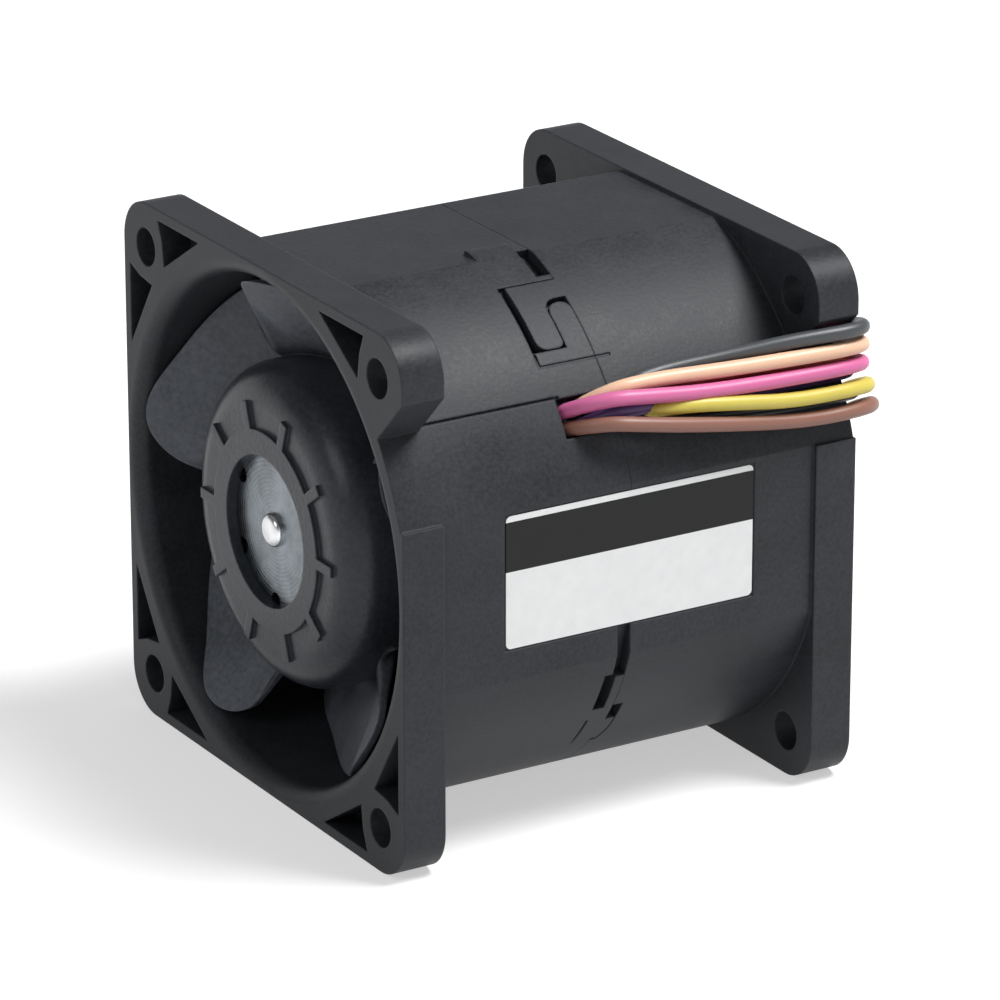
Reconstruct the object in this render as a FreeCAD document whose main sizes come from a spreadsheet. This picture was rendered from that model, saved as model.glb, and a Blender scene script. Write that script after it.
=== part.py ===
import FreeCAD, Part
import math
import os
import re
import Sketcher
from FreeCAD import Placement, Rotation, Vector

# A counter-rotating cooling fan: two motor halves, called stages here, joined back to back.
# Millimetres. X runs along the airflow, from the inlet face to the outlet face, and +Z is up.
# The origin is on the surface that the fan stands on, under the middle of its two flanges.
# Each stage is drawn in its own frame: x is the depth behind the stage's outer face, and the
# x axis is the shaft's. The outlet stage is then turned half round about the vertical.

doc = FreeCAD.newDocument("counter_rotating_fan")
sheet = doc.addObject("Spreadsheet::Sheet", "Sizes")

SIZES = (
    ("frame_width", 60.0, "flange, across the flats"),
    ("stage_depth", 28.0, "one stage, from its outer face to the joint"),
    ("flange_thickness", 5.0, "flange"),
    ("corner_radius", 5.0, "flange, outer corners"),
    ("hole_inset", 5.0, "mounting holes, centres in from the flange's edges"),
    ("hole_diameter", 4.3, "mounting holes"),
    ("boss_radius", 4.0, "solid ring round a mounting hole"),
    ("rim_wall", 1.2, "flange, wall outside the corner pockets"),
    ("ring_wall", 3.2, "flange, wall between the throat and the corner pockets"),
    ("neck_width", 4.0, "web from a hole boss to the throat wall"),
    ("pocket_web", 1.4, "floor of the corner pockets"),
    ("flat_setback", 0.5, "four flats of the casing, in from the flange's sides"),
    ("casing_bulge", 1.5, "round casing between the flanges, beyond its four flats"),
    ("casing_wall", 3.0, "casing, from its round outside to the air passage"),
    ("mouth_round", 1.7, "rounding of the air passage at the face"),
    ("ear_wall", 4.6, "ear above the lead gap, from the hole's centre"),
    ("base_radius", 18.6, "motor base"),
    ("base_setback", 1.4, "motor base plate, short of the joint"),
    ("base_thickness", 1.8, "motor base plate"),
    ("base_rim_height", 4.8, "motor base rim, in front of the plate"),
    ("base_rim_wall", 1.0, "motor base rim"),
    ("strut_count", 4, "struts from the motor base to the casing"),
    ("strut_width", 2.4, "strut, across"),
    ("strut_height", 6.4, "strut, along the axis"),
    ("strut_setback", 0.6, "struts, short of the joint"),
    ("slot_angle", 33.0, "lead slot, up from the label side, degrees"),
    ("slot_width", 4.4, "lead slot, round the casing"),
    ("slot_length", 6.5, "lead slot, along the casing in the inlet stage"),
    ("slot_relief", 2.2, "lead slot, along the casing in the outlet stage"),
    ("slot_wall", 0.8, "wall under the lead slot"),
    ("hook_angle", 50.0, "hook, up from the label side, degrees"),
    ("pit_angle", 68.0, "pit above a hook, up from the label side, degrees"),
    ("tab_angle", 74.0, "tab beside that pit, up from the label side, degrees"),
    ("hook_wall", 1.5, "wall under the hooks"),
    ("hook_clearance", 0.12, "under a hook and beside its neck"),
    ("latch_angle", 38.0, "latch, down from the label side, degrees"),
    ("joint_chamfer", 0.05, "edges of the joint between the stages"),
    ("joint_gap_angle", 17.5, "gap in the joint below the label, down from the label side, degrees"),
    ("joint_gap_width", 1.6, "gap in the joint below the label, along the fan"),
    ("joint_slit_angle", 27.8, "slit between that gap and the latch, degrees"),
    ("joint_slit_width", 1.5, "slit between that gap and the latch, along the fan"),
    ("line_width", 0.3, "fine moulded lines on the casing"),
    ("line_depth", 0.3, "fine moulded lines on the casing"),
    ("label_width", 30.6, "label, along the fan"),
    ("label_height", 14.8, "label, up the fan"),
    ("label_rise", 1.4, "label, centre above the axis"),
    ("label_thickness", 0.12, "label"),
    ("label_recess", 0.15, "moulded recess under the label"),
    ("hub_radius", 18.0, "impeller hub"),
    ("hub_depth", 0.4, "raised ring on the hub's face, behind the flange face"),
    ("hub_clearance", 1.5, "hub, short of the motor base rim"),
    ("hub_wall", 1.2, "hub, side wall"),
    ("hub_front", 1.3, "hub, front wall"),
    ("hub_round", 4.4, "hub, rounded shoulder"),
    ("aperture_radius", 8.4, "opening in the hub's face"),
    ("face_ring", 11.2, "raised ring round the hub's opening, radius"),
    ("rib_count", 10, "ribs on the hub's face"),
    ("rib_reach", 14.2, "ribs on the hub's face, outer end"),
    ("rib_width", 1.2, "ribs on the hub's face"),
    ("rib_height", 0.45, "raised ring and ribs on the hub's face"),
    ("tip_gap", 0.5, "blade tips to the air passage"),
    ("inlet_blades", 5, "blades of the inlet impeller"),
    ("outlet_blades", 4, "blades of the outlet impeller"),
    ("blade_depth", 0.6, "blade tip nearest the face, from the face"),
    ("blade_tail", 2.12, "blade, short of the hub's back"),
    ("blade_wrap", 78.0, "blade tip, angle that it covers, degrees"),
    ("blade_sweep", 18.0, "leading edge, hub ahead of the tip, degrees"),
    ("blade_drop", 6.5, "blade's end nearest the face, root behind the tip along the axis"),
    ("blade_thick", 1.5, "blade, along the axis at mid-chord"),
    ("blade_edge", 0.7, "blade, along the axis at its edges"),
    ("blade_angle", 167.5, "one blade tip's leading corner, up from the label side, degrees"),
    ("cup_wall", 1.0, "steel rotor cup"),
    ("cup_corner", 2.0, "rotor cup, slanted corner"),
    ("vent_count", 6, "holes in the rotor cup at the hub's opening"),
    ("vent_radius", 0.95, "holes in the rotor cup"),
    ("vent_inset", 0.2, "holes' centres, inside the hub's opening"),
    ("cup_boss_radius", 2.7, "rotor cup, collar on the shaft"),
    ("cup_boss_length", 2.0, "rotor cup, collar behind its plate"),
    ("magnet_thickness", 2.0, "magnet ring"),
    ("magnet_length", 10.0, "magnet ring"),
    ("air_gap", 0.4, "magnet ring to stator"),
    ("stack_length", 8.0, "stator core"),
    ("pole_count", 6, "stator poles"),
    ("tooth_width", 4.0, "stator tooth"),
    ("yoke_radius", 8.2, "stator core, bottom of the slots"),
    ("shoe_radius", 12.2, "stator core, underside of the pole shoes"),
    ("slot_mouth", 1.8, "gap between the pole shoes"),
    ("insulator_thickness", 0.5, "stator insulator"),
    ("coil_thickness", 1.7, "winding on each side of a tooth"),
    ("coil_inner", 8.8, "winding, from the axis"),
    ("coil_outer", 11.8, "winding, from the axis"),
    ("coil_play", 0.1, "winding to tooth"),
    ("sleeve_radius", 6.0, "bearing sleeve"),
    ("sleeve_shoulder", 3.4, "bearing sleeve, bore between the bearings"),
    ("sleeve_depth", 5.6, "bearing sleeve, from the face"),
    ("sleeve_seat", 1.2, "bearing sleeve, into the motor base plate"),
    ("bearing_bore", 3.0, "bearing, bore"),
    ("bearing_diameter", 8.0, "bearing, across"),
    ("bearing_width", 4.0, "bearing"),
    ("bearing_ring", 0.8, "bearing rings, thickness"),
    ("front_bearing", 6.0, "front bearing, from the face"),
    ("rear_bearing_inset", 5.8, "rear bearing's front, ahead of the motor base plate"),
    ("ball_radius", 0.7, "bearing balls"),
    ("ball_count", 7, "bearing balls"),
    ("ball_play", 0.05, "bearing balls in their tracks"),
    ("cage_play", 0.1, "cage to rings"),
    ("cage_width", 0.8, "cage, along the axis"),
    ("cage_offset", 0.15, "cage, behind the balls' centres"),
    ("head_radius", 1.9, "shaft's head"),
    ("head_rise", 0.9, "shaft's head, in front of the rotor cup"),
    ("head_round", 0.75, "shaft's head, rounding"),
    ("shaft_tail", 1.5, "shaft behind the retaining ring"),
    ("shaft_chamfer", 0.35, "shaft, rear end"),
    ("clip_radius", 3.0, "retaining ring"),
    ("clip_thickness", 0.5, "retaining ring"),
    ("clip_groove", 1.2, "shaft at the retaining ring's groove, radius"),
    ("clip_mouth", 1.8, "retaining ring's gap"),
    ("spring_wire", 0.35, "preload spring, wire diameter"),
    ("spring_turns", 2.0, "preload spring"),
    ("spring_radius", 2.05, "preload spring, to the wire's centre"),
    ("board_play", 0.8, "circuit board to the motor base rim"),
    ("board_hole", 6.3, "circuit board, hole round the sleeve"),
    ("board_thickness", 1.0, "circuit board"),
    ("ledge_height", 1.2, "ledge under the board, in front of the motor base plate"),
    ("board_ledge", 1.4, "ledge under the board's edge"),
    ("driver_size", 4.0, "driver chips, square"),
    ("driver_height", 1.0, "driver chips"),
    ("sensor_size", 1.8, "rotor position sensors, square"),
    ("sensor_height", 1.2, "rotor position sensors"),
    ("lead_diameter", 1.65, "one lead with its insulation"),
    ("strand_diameter", 0.9, "tinned lead end"),
    ("strand_length", 5.0, "tinned lead end"),
    ("coil_middle_x", 45.0, "put-away coil, centre along X"),
    ("coil_middle_y", 31.0, "put-away coil, centre along Y"),
    ("coil_out_radius", 16.4, "put-away coil, outside"),
    ("coil_in_radius", 10.8, "put-away coil, inside"),
    ("layer_pitch", 1.78, "put-away coil, one lead above another"),
    ("end_angle", 125.0, "put-away coil, where the lead ends come out inside it, degrees"),
    ("end_turn", -15.0, "direction of the lead ends, degrees"),
    ("end_gap", 0.15, "lead ends to the coil's inside"),
    ("lead_count", 8, "leads"),
    ("tie_width", 3.0, "tie round the put-away coil"),
    ("tie_thickness", 0.8, "tie round the put-away coil"),
)

RULES = (
    ("half_width", "frame_width / 2"),
    ("half_pitch", "half_width - hole_inset"),
    ("flat_half", "half_width - flat_setback"),
    ("casing_radius", "flat_half + casing_bulge"),
    ("throat_radius", "casing_radius - casing_wall"),
    ("hook_floor", "throat_radius + hook_wall"),
    ("slot_floor", "throat_radius + slot_wall"),
    ("base_depth", "stage_depth - base_setback - base_thickness"),
    ("base_rim_depth", "base_depth - base_rim_height"),
    ("strut_depth", "stage_depth - strut_setback - strut_height"),
    ("board_radius", "base_radius - base_rim_wall - board_play"),
    ("board_depth", "base_depth - ledge_height - board_thickness"),
    ("hole_radius", "hole_diameter / 2"),
    ("pad_half", "sqrt(casing_radius ^ 2 - flat_half ^ 2)"),
    ("pocket_rim", "half_width - rim_wall"),
    ("pocket_ring", "throat_radius + ring_wall"),
    ("pocket_low", "sqrt(pocket_ring ^ 2 - pocket_rim ^ 2) + 1"),
    ("neck_side", "pocket_ring * sin(45 deg) + neck_width * sin(45 deg) / 2"),
    ("neck_other", "pocket_ring * sin(45 deg) - neck_width * sin(45 deg) / 2"),
    ("ear_line", "ear_wall * sqrt(2)"),
    ("cup_radius", "hub_radius - hub_wall"),
    ("cup_bore", "cup_radius - cup_wall"),
    ("cup_depth", "hub_depth + hub_front"),
    ("hub_face", "hub_depth + rib_height"),
    ("hub_back", "base_rim_depth - hub_clearance"),
    ("blade_pitch", "(hub_back - blade_depth - blade_tail) / blade_wrap"),
    ("magnet_bore", "cup_bore - magnet_thickness"),
    ("magnet_depth", "hub_back - magnet_length"),
    ("stator_radius", "magnet_bore - air_gap"),
    ("stack_depth", "magnet_depth + (magnet_length - stack_length) / 2"),
    ("stack_back", "stack_depth + stack_length"),
    ("tooth_half", "tooth_width / 2"),
    ("pole_half_angle", "180 / pole_count"),
    ("shaft_radius", "bearing_bore / 2"),
    ("bearing_radius", "bearing_diameter / 2"),
    ("race_inner", "shaft_radius + bearing_ring"),
    ("race_outer", "bearing_radius - bearing_ring"),
    ("ball_orbit", "(race_inner + race_outer) / 2"),
    ("track_radius", "ball_radius + ball_play"),
    ("sleeve_back", "base_depth + sleeve_seat"),
    ("rear_bearing", "base_depth - rear_bearing_inset"),
    ("clip_depth", "rear_bearing + bearing_width"),
    ("shaft_back", "clip_depth + clip_thickness + shaft_tail"),
    ("head_depth", "cup_depth - head_rise"),
    ("cup_bend", "cup_wall * tan(22.5 deg)"),
    ("cup_boss_back", "cup_depth + cup_wall + cup_boss_length"),
    ("board_back", "board_depth + board_thickness"),
    ("tip_radius", "throat_radius - tip_gap"),
    ("blade_root", "hub_radius - hub_wall / 2"),
    ("lead_radius", "lead_diameter / 2"),
    ("coil_height", "layer_pitch * (lead_count - 1) + lead_diameter"),
    ("coil_top", "tie_thickness + coil_height"),
    ("tie_inner", "sqrt(coil_in_radius ^ 2 - tie_width ^ 2 / 4)"),
    ("end_radius", "coil_in_radius - end_gap - strand_diameter / 2"),
)

FUNCTIONS = ("sqrt", "sin", "cos", "tan", "deg")


def fill_sheet():
    """Write the driving sizes as plain numbers and the sizes that follow from them as formulas."""
    row = 1
    for alias, number, note in SIZES:
        sheet.set("A%d" % row, note)
        sheet.set("B%d" % row, str(number))
        sheet.setAlias("B%d" % row, alias)
        row += 1
    for alias, rule in RULES:
        sheet.set("A%d" % row, "follows from the sizes above")
        sheet.set("B%d" % row, "=" + rule)
        sheet.setAlias("B%d" % row, alias)
        row += 1
    doc.recompute()


def bound(rule):
    """The rule as an expression that reads the sheet's cells."""
    def named(match):
        word = match.group(0)
        return word if word in FUNCTIONS else "Sizes." + word
    return re.sub(r"[a-z_]+", named, str(rule))


workings = doc.addObject("Spreadsheet::Sheet", "Workings")
worked_out = {}


def value(rule):
    """The number that a rule gives, worked out in a cell of a second sheet."""
    rule = str(rule)
    if rule not in worked_out:
        workings.set("A1", "=" + bound(rule))
        workings.recompute()
        worked_out[rule] = float(workings.get("A1"))
    return worked_out[rule]


fill_sheet()

# The two stages: their names, the side of the stage's frame on which the label lies, and their place

INLET = "inlet"
OUTLET = "outlet"
LABEL_SIDE = {INLET: -1, OUTLET: 1}
STAGE_TURN = {INLET: 0, OUTLET: 180}
STAGE_FACE = {INLET: "-stage_depth", OUTLET: "stage_depth"}


def stage_body(stage, name):
    """A body in one stage's frame."""
    body = doc.addObject("PartDesign::Body", stage + "_" + name)
    body.Label = stage + "_" + name
    turn = Rotation(Vector(0, 0, 1), STAGE_TURN[stage])
    body.Placement = Placement(Vector(0, 0, 0), turn)
    body.setExpression("Placement.Base.x", bound(STAGE_FACE[stage]))
    body.setExpression("Placement.Base.z", bound("half_width"))
    return body


def origin_part(body, role):
    return [f for f in body.Origin.OriginFeatures if f.Role == role][0]


def attach(body, sketch, plane, offset):
    sketch.AttachmentSupport = (origin_part(body, plane), [""])
    sketch.MapMode = "FlatFace"
    sketch.AttachmentOffset = offset


def cross_sketch(body, name, depth, turn=0):
    """A sketch across the axis at a depth: u along Y and v along Z, both turned about the axis."""
    sketch = body.newObject("Sketcher::SketchObject", name)
    attach(body, sketch, "YZ_Plane", Placement(Vector(0, 0, 0), Rotation(Vector(0, 0, 1), turn)))
    sketch.setExpression("AttachmentOffset.Base.z", bound(depth))
    return sketch


def half_plane_sketch(body, name, angle=90):
    """A sketch in the half plane that holds the axis: u is the depth and v the radius."""
    sketch = body.newObject("Sketcher::SketchObject", name)
    turn = Rotation(Vector(1, 0, 0), 90 - angle)
    attach(body, sketch, "XZ_Plane", Placement(Vector(0, 0, 0), turn))
    return sketch


def facing_sketch(body, name, angle, radius):
    """A sketch that faces outward at a radius: u is the depth and v runs round the casing."""
    sketch = body.newObject("Sketcher::SketchObject", name)
    lean = math.radians(angle)
    r = value(radius)
    place = Vector(0, r * math.sin(lean), r * math.cos(lean))
    attach(body, sketch, "XZ_Plane", Placement(place, Rotation(Vector(1, 0, 0), -angle)))
    return sketch


def hold(sketch, curve, point, rules):
    """Tie one point of a curve to two rules, along u and along v."""
    for kind, rule in zip(("DistanceX", "DistanceY"), rules):
        number = sketch.addConstraint(Sketcher.Constraint(kind, -1, 1, curve, point, value(rule)))
        sketch.setExpression("Constraints[%d]" % number, bound(rule))


def add_loop(sketch, points):
    """A closed outline of straight edges, each corner tied to its two rules."""
    first = sketch.GeometryCount
    spots = [Vector(value(u), value(v), 0) for u, v in points]
    count = len(points)
    for i in range(count):
        sketch.addGeometry(Part.LineSegment(spots[i], spots[(i + 1) % count]), False)
    for i in range(count):
        follower = first + (i + 1) % count
        sketch.addConstraint(Sketcher.Constraint("Coincident", first + i, 2, follower, 1))
    for i in range(count):
        hold(sketch, first + i, 1, points[i])


def add_circle(sketch, radius, middle=None):
    spot = Vector(0, 0, 0)
    if middle:
        spot = Vector(value(middle[0]), value(middle[1]), 0)
    curve = sketch.addGeometry(Part.Circle(spot, Vector(0, 0, 1), value(radius)), False)
    if middle:
        hold(sketch, curve, 3, middle)
    else:
        sketch.addConstraint(Sketcher.Constraint("Coincident", curve, 3, -1, 1))
    number = sketch.addConstraint(Sketcher.Constraint("Radius", curve, value(radius)))
    sketch.setExpression("Constraints[%d]" % number, bound(radius))


def rectangle(u0, v0, u1, v1):
    return [(u0, v0), (u1, v0), (u1, v1), (u0, v1)]


def pad(body, sketch, length, reverse=False):
    feature = body.newObject("PartDesign::Pad", sketch.Name + "_pad")
    feature.Profile = sketch
    feature.Reversed = reverse
    feature.setExpression("Length", bound(length))
    return feature


def pocket(body, sketch, length, reverse=False):
    """Cut along the sketch's own direction, or against it if reversed."""
    feature = body.newObject("PartDesign::Pocket", sketch.Name + "_pocket")
    feature.Profile = sketch
    feature.Reversed = not reverse
    feature.setExpression("Length", bound(length))
    return feature


def revolve(body, name, points):
    sketch = half_plane_sketch(body, name)
    add_loop(sketch, points)
    feature = body.newObject("PartDesign::Revolution", name + "_turn")
    feature.Profile = sketch
    feature.ReferenceAxis = (sketch, ["H_Axis"])
    feature.Angle = 360
    return feature


def groove(body, name, points):
    sketch = half_plane_sketch(body, name)
    add_loop(sketch, points)
    feature = body.newObject("PartDesign::Groove", name + "_cut")
    feature.Profile = sketch
    feature.ReferenceAxis = (sketch, ["H_Axis"])
    feature.Angle = 360
    return feature


def repeat(body, features, count, name, angle=360):
    """Copies of features, evenly round the axis."""
    pattern = body.newObject("PartDesign::PolarPattern", name)
    pattern.Originals = features
    pattern.Axis = (origin_part(body, "X_Axis"), [""])
    pattern.Angle = angle
    pattern.setExpression("Occurrences", bound(count))
    body.Tip = pattern
    return pattern


def round_edges(body, feature, wanted, radius, name, kind="PartDesign::Fillet"):
    """Round or chamfer the edges of a feature that pass a test."""
    doc.recompute()
    names = []
    for number, edge in enumerate(feature.Shape.Edges, 1):
        if wanted(edge):
            names.append("Edge%d" % number)
    dress = body.newObject(kind, name)
    dress.Base = (feature, names)
    dress.setExpression("Size" if kind.endswith("Chamfer") else "Radius", bound(radius))
    return dress


def is_ring(edge, depth, radius):
    """Whether an edge is a circle round the axis at a depth and radius of the stage's frame."""
    curve = edge.Curve
    if not isinstance(curve, Part.Circle):
        return False
    middle = curve.Center
    return (
        abs(curve.Radius - radius) < 1e-4
        and abs(middle.x - depth) < 1e-4
        and math.hypot(middle.y, middle.z) < 1e-4
    )


# Housings

JOINT_TRIM = "12"
CUT_MARGIN = "1"


def stage_angle(stage, angle):
    """An angle up from the label side, as an angle of the stage's frame."""
    return angle if LABEL_SIDE[stage] < 0 else 180 - angle


def joint_outline(stage, points):
    """Points given from the joint into the inlet stage and round the casing, in a stage's sketch."""
    if stage == INLET:
        return [("stage_depth - (%s)" % a, b) for a, b in points]
    return [("stage_depth + (%s)" % a, "-(%s)" % b) for a, b in points]


def arc(a, b, radius, start, end):
    """Points along a rounded corner: its middle, its radius, and the angles that it runs between."""
    points = []
    for step in range(5):
        angle = start + (end - start) * step / 4
        points.append((
            "%s + (%s) * cos(%s deg)" % (a, radius, angle),
            "%s + (%s) * sin(%s deg)" % (b, radius, angle),
        ))
    return points


# A hook is a finger of the outlet housing that reaches round a finger of the inlet housing.
HOOK_WINDOW = (
    [("-0.5", "7.2"), ("7", "7.2"), ("7", "-1.6"), ("2.8", "-1.6")]
    + arc("1.4", "2.65", "1.4", 0, 90)
    + arc("1.2", "2.85", "1.2", 90, 180)
    + [("-0.5", "2.85")]
)
HOOK_LUG = (
    [("-2.5", "7.2 - hook_clearance"), ("6.1", "7.2 - hook_clearance")]
    + arc("4.9", "-0.25", "1.2", 0, -90)
    + arc("3.6 + hook_clearance", "-0.65", "0.8", -90, -180)
    + arc("1.4", "3.1", "1.4 + hook_clearance", 0, 90)
    + [("-2.5", "4.5 + hook_clearance")]
)
# Above a hook, the joint has an open pit at the edge of the flat, with a round tab beside it.
HOOK_PIT = (("-0.5", "3"), ("1.8", "3"), ("1.8", "-1.8"), ("-0.5", "-1.8"))
HOOK_TAB = (("1.8", "1.6"), ("6.8", "1.6"), ("6.8", "-1.5"), ("1.8", "-1.5"))
# A latch is a short tongue of the inlet housing in a notch of the outlet housing, with a pit above.
LATCH_NOTCH = (("0.5", "3"), ("-1.3", "3"), ("-1.3", "-2.2"), ("-0.8", "-4.4"), ("0.5", "-4.4"))
LATCH_TONGUE = (("2.5", "0.4"), ("-1.1", "0.4"), ("-1.1", "-2"), ("-0.6", "-4"), ("2.5", "-4"))
LATCH_LINE = (("2.4", "1"), ("2.4 + line_width", "1"), ("2.4 + line_width", "-8"), ("2.4", "-8"))

# Below the label the inlet housing stands open at the joint, and lower down in a slit beside it.
JOINT_GAP = (("-0.5", "3.4"), ("joint_gap_width", "3.4"), ("joint_gap_width", "-3.2"), ("-0.5", "-3.2"))
SLIT_INSET = "1.1"
JOINT_SLIT = (
    (SLIT_INSET, "2.8"), (SLIT_INSET + " + joint_slit_width", "2.8"),
    (SLIT_INSET + " + joint_slit_width", "-2.6"), (SLIT_INSET, "-2.6"),
)
HOOK_LINE = (
    ("-0.5", "-3.4"), ("7", "-3.4"), ("7", "-1.7"), ("7 - line_width", "-1.7"),
    ("7 - line_width", "-3.4 + line_width"), ("-0.5", "-3.4 + line_width"),
)
HOOK_LINE_END = (("0.5", "-3.4"), ("-1.8", "-3.4"), ("-1.8", "-3.4 + line_width"), ("0.5", "-3.4 + line_width"))


def joint_shape(body, stage, name, angle, outline, depth_from, cutting):
    """A hook's or latch's outline, cut into or added to the casing at an angle."""
    sketch = facing_sketch(body, name, stage_angle(stage, angle), depth_from)
    add_loop(sketch, joint_outline(stage, outline))
    if cutting:
        return pocket(body, sketch, "casing_radius")
    return pad(body, sketch, "casing_radius - hook_floor + " + CUT_MARGIN)


def add_housing(stage):
    body = stage_body(stage, "housing")
    side = "-" if LABEL_SIDE[stage] < 0 else ""

    flange = cross_sketch(body, stage + "_flange", "0")
    add_loop(flange, rectangle("-half_width", "-half_width", "half_width", "half_width"))
    block = pad(body, flange, "flange_thickness")

    def along(edge):
        return abs(edge.tangentAt(edge.FirstParameter).x) > 0.99

    round_edges(body, block, along, "corner_radius", stage + "_corners")

    # gap in the flange's label side, below the ear, through which the leads pass
    gap = cross_sketch(body, stage + "_lead_gap", "0")
    outer = side + "(half_width + 1)"
    add_loop(gap, [
        (outer, "pad_half"),
        (outer, "half_width + 1 - ear_line"),
        (side + "(pad_half + ear_line)", "pad_half"),
    ])
    pocket(body, gap, "flange_thickness")

    revolve(body, stage + "_casing", [
        ("0", "0"),
        ("0", "casing_radius"),
        ("stage_depth - joint_chamfer", "casing_radius"),
        ("stage_depth", "casing_radius - joint_chamfer"),
        ("stage_depth", "0"),
    ])

    lean = value("hook_angle")
    low = -value("latch_angle")
    if stage == OUTLET:
        lug = joint_shape(body, stage, "outlet_hook", lean, HOOK_LUG,
                          "hook_floor + hook_clearance", False)
        repeat(body, [lug], "2", "outlet_hooks")
    else:
        tongue = joint_shape(body, stage, "inlet_latch", low, LATCH_TONGUE,
                             "hook_floor + hook_clearance", False)
        repeat(body, [tongue], "2", "inlet_latches")

    # round the casing and its fingers to one radius, then flatten four sides a little inside the flange's
    groove(body, stage + "_round", rectangle(
        "flange_thickness", "casing_radius", "stage_depth + " + JOINT_TRIM, "casing_radius * 2"))
    flats = cross_sketch(body, stage + "_flats", "flange_thickness")
    add_loop(flats, rectangle("-frame_width", "-frame_width", "frame_width", "frame_width"))
    add_loop(flats, rectangle("-flat_half", "-flat_half", "flat_half", "flat_half"))
    pocket(body, flats, "stage_depth - flange_thickness + " + JOINT_TRIM)
    if stage == INLET:
        tab = joint_shape(body, stage, "inlet_hook_tab", value("tab_angle"), HOOK_TAB, "hook_floor", False)
        repeat(body, [tab], "2", "inlet_hook_tabs")
        groove(body, "inlet_tab_round", rectangle(
            "flange_thickness", "casing_radius", "stage_depth + " + JOINT_TRIM, "casing_radius * 2"))

    # nothing stands out past the flange's sides
    square = cross_sketch(body, stage + "_square", "0")
    add_loop(square, rectangle("-frame_width", "-frame_width", "frame_width", "frame_width"))
    add_loop(square, rectangle("-half_width", "-half_width", "half_width", "half_width"))
    pocket(body, square, "stage_depth + " + JOINT_TRIM)
    edge = cross_sketch(body, stage + "_joint_edge", "stage_depth - joint_chamfer")
    inner = "flat_half - joint_chamfer"
    add_loop(edge, rectangle("-frame_width", "-frame_width", "frame_width", "frame_width"))
    add_loop(edge, rectangle("-(%s)" % inner, "-(%s)" % inner, inner, inner))
    pocket(body, edge, "joint_chamfer")

    bore = cross_sketch(body, stage + "_throat", "0")
    add_circle(bore, "throat_radius")
    throat = pocket(body, bore, "stage_depth + " + JOINT_TRIM)
    radius = value("throat_radius")
    round_edges(body, throat, lambda e: is_ring(e, 0, radius), "mouth_round", stage + "_mouth")

    # four mounting holes, and two blind pockets beside each to keep the walls even
    holes = cross_sketch(body, stage + "_hole", "0")
    add_circle(holes, "hole_radius", ("half_pitch", "half_pitch"))
    hole = pocket(body, holes, "flange_thickness")
    corner = [
        ("pocket_rim", "pocket_low"),
        ("pocket_rim", "half_pitch - boss_radius + 1.2"),
        ("half_pitch + boss_radius * 0.4", "half_pitch - boss_radius + 0.35"),
        ("neck_side + 0.3", "neck_other + 0.3"),
    ]
    repeat(body, [hole], "4", stage + "_holes")
    beside = cross_sketch(body, stage + "_corner_pocket", "0", 0 if stage == INLET else 90)
    above = cross_sketch(body, stage + "_other_pocket", "0", 180 if stage == INLET else 0)
    add_loop(beside, corner)
    add_loop(above, [(v, u) for u, v in reversed(corner)])
    for sketch in (beside, above):
        well = pocket(body, sketch, "flange_thickness - pocket_web")
        # the corner beside the lead gap has no room for one of its two pockets
        if (sketch is above) == (stage == INLET):
            repeat(body, [well], "3", sketch.Name + "_pattern", 180)
        else:
            repeat(body, [well], "4", sketch.Name + "_pattern")

    # motor base: a plate with a rim and a ledge for the board, carried by struts
    revolve(body, stage + "_base", [
        ("base_depth", "sleeve_radius"),
        ("base_depth", "board_radius - board_ledge"),
        ("board_back", "board_radius - board_ledge"),
        ("board_back", "base_radius - base_rim_wall"),
        ("base_rim_depth", "base_radius - base_rim_wall"),
        ("base_rim_depth", "base_radius"),
        ("base_depth + base_thickness", "base_radius"),
        ("base_depth + base_thickness", "sleeve_radius"),
    ])
    strut_turn = stage_angle(stage, 180 - value("slot_angle"))
    strut = cross_sketch(body, stage + "_strut", "strut_depth", strut_turn)
    add_loop(strut, rectangle(
        "base_radius - 0.5", "-strut_width / 2", "throat_radius + 0.5", "strut_width / 2"))
    arm = pad(body, strut, "stage_depth - strut_setback - strut_depth")
    repeat(body, [arm], "strut_count", stage + "_struts")

    # shallow recess that the label is stuck in
    facing = stage_angle(stage, 0)
    recess = facing_sketch(body, stage + "_label_recess", facing, "flat_half - label_recess")
    rise = "label_rise" if stage == INLET else "-label_rise"
    add_loop(recess, rectangle(
        "stage_depth - label_width / 2 - 0.2", rise + " - label_height / 2 - 0.2",
        "stage_depth + 1", rise + " + label_height / 2 + 0.2"))
    pocket(body, recess, "half_width")

    slot = facing_sketch(body, stage + "_lead_slot", stage_angle(stage, value("slot_angle")), "slot_floor")
    reach = "slot_length" if stage == INLET else "slot_relief"
    add_loop(slot, rectangle(
        "stage_depth - " + reach, "-slot_width / 2", "stage_depth + 1", "slot_width / 2"))
    pocket(body, slot, "casing_radius")
    if stage == INLET:
        window = joint_shape(body, stage, "inlet_window", lean, HOOK_WINDOW, "hook_floor", True)
        repeat(body, [window], "2", "inlet_windows")
        gap_lean = -value("joint_gap_angle")
        gap = joint_shape(body, stage, "inlet_gap", gap_lean, JOINT_GAP, "hook_floor", True)
        repeat(body, [gap], "2", "inlet_gaps")
        slit_lean = -value("joint_slit_angle")
        slit = joint_shape(body, stage, "inlet_slit", slit_lean, JOINT_SLIT, "hook_floor", True)
        repeat(body, [slit], "2", "inlet_slits")
        pit = joint_shape(body, stage, "inlet_hook_pit", value("pit_angle"), HOOK_PIT, "hook_floor", True)
        repeat(body, [pit], "2", "inlet_hook_pits")
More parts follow.
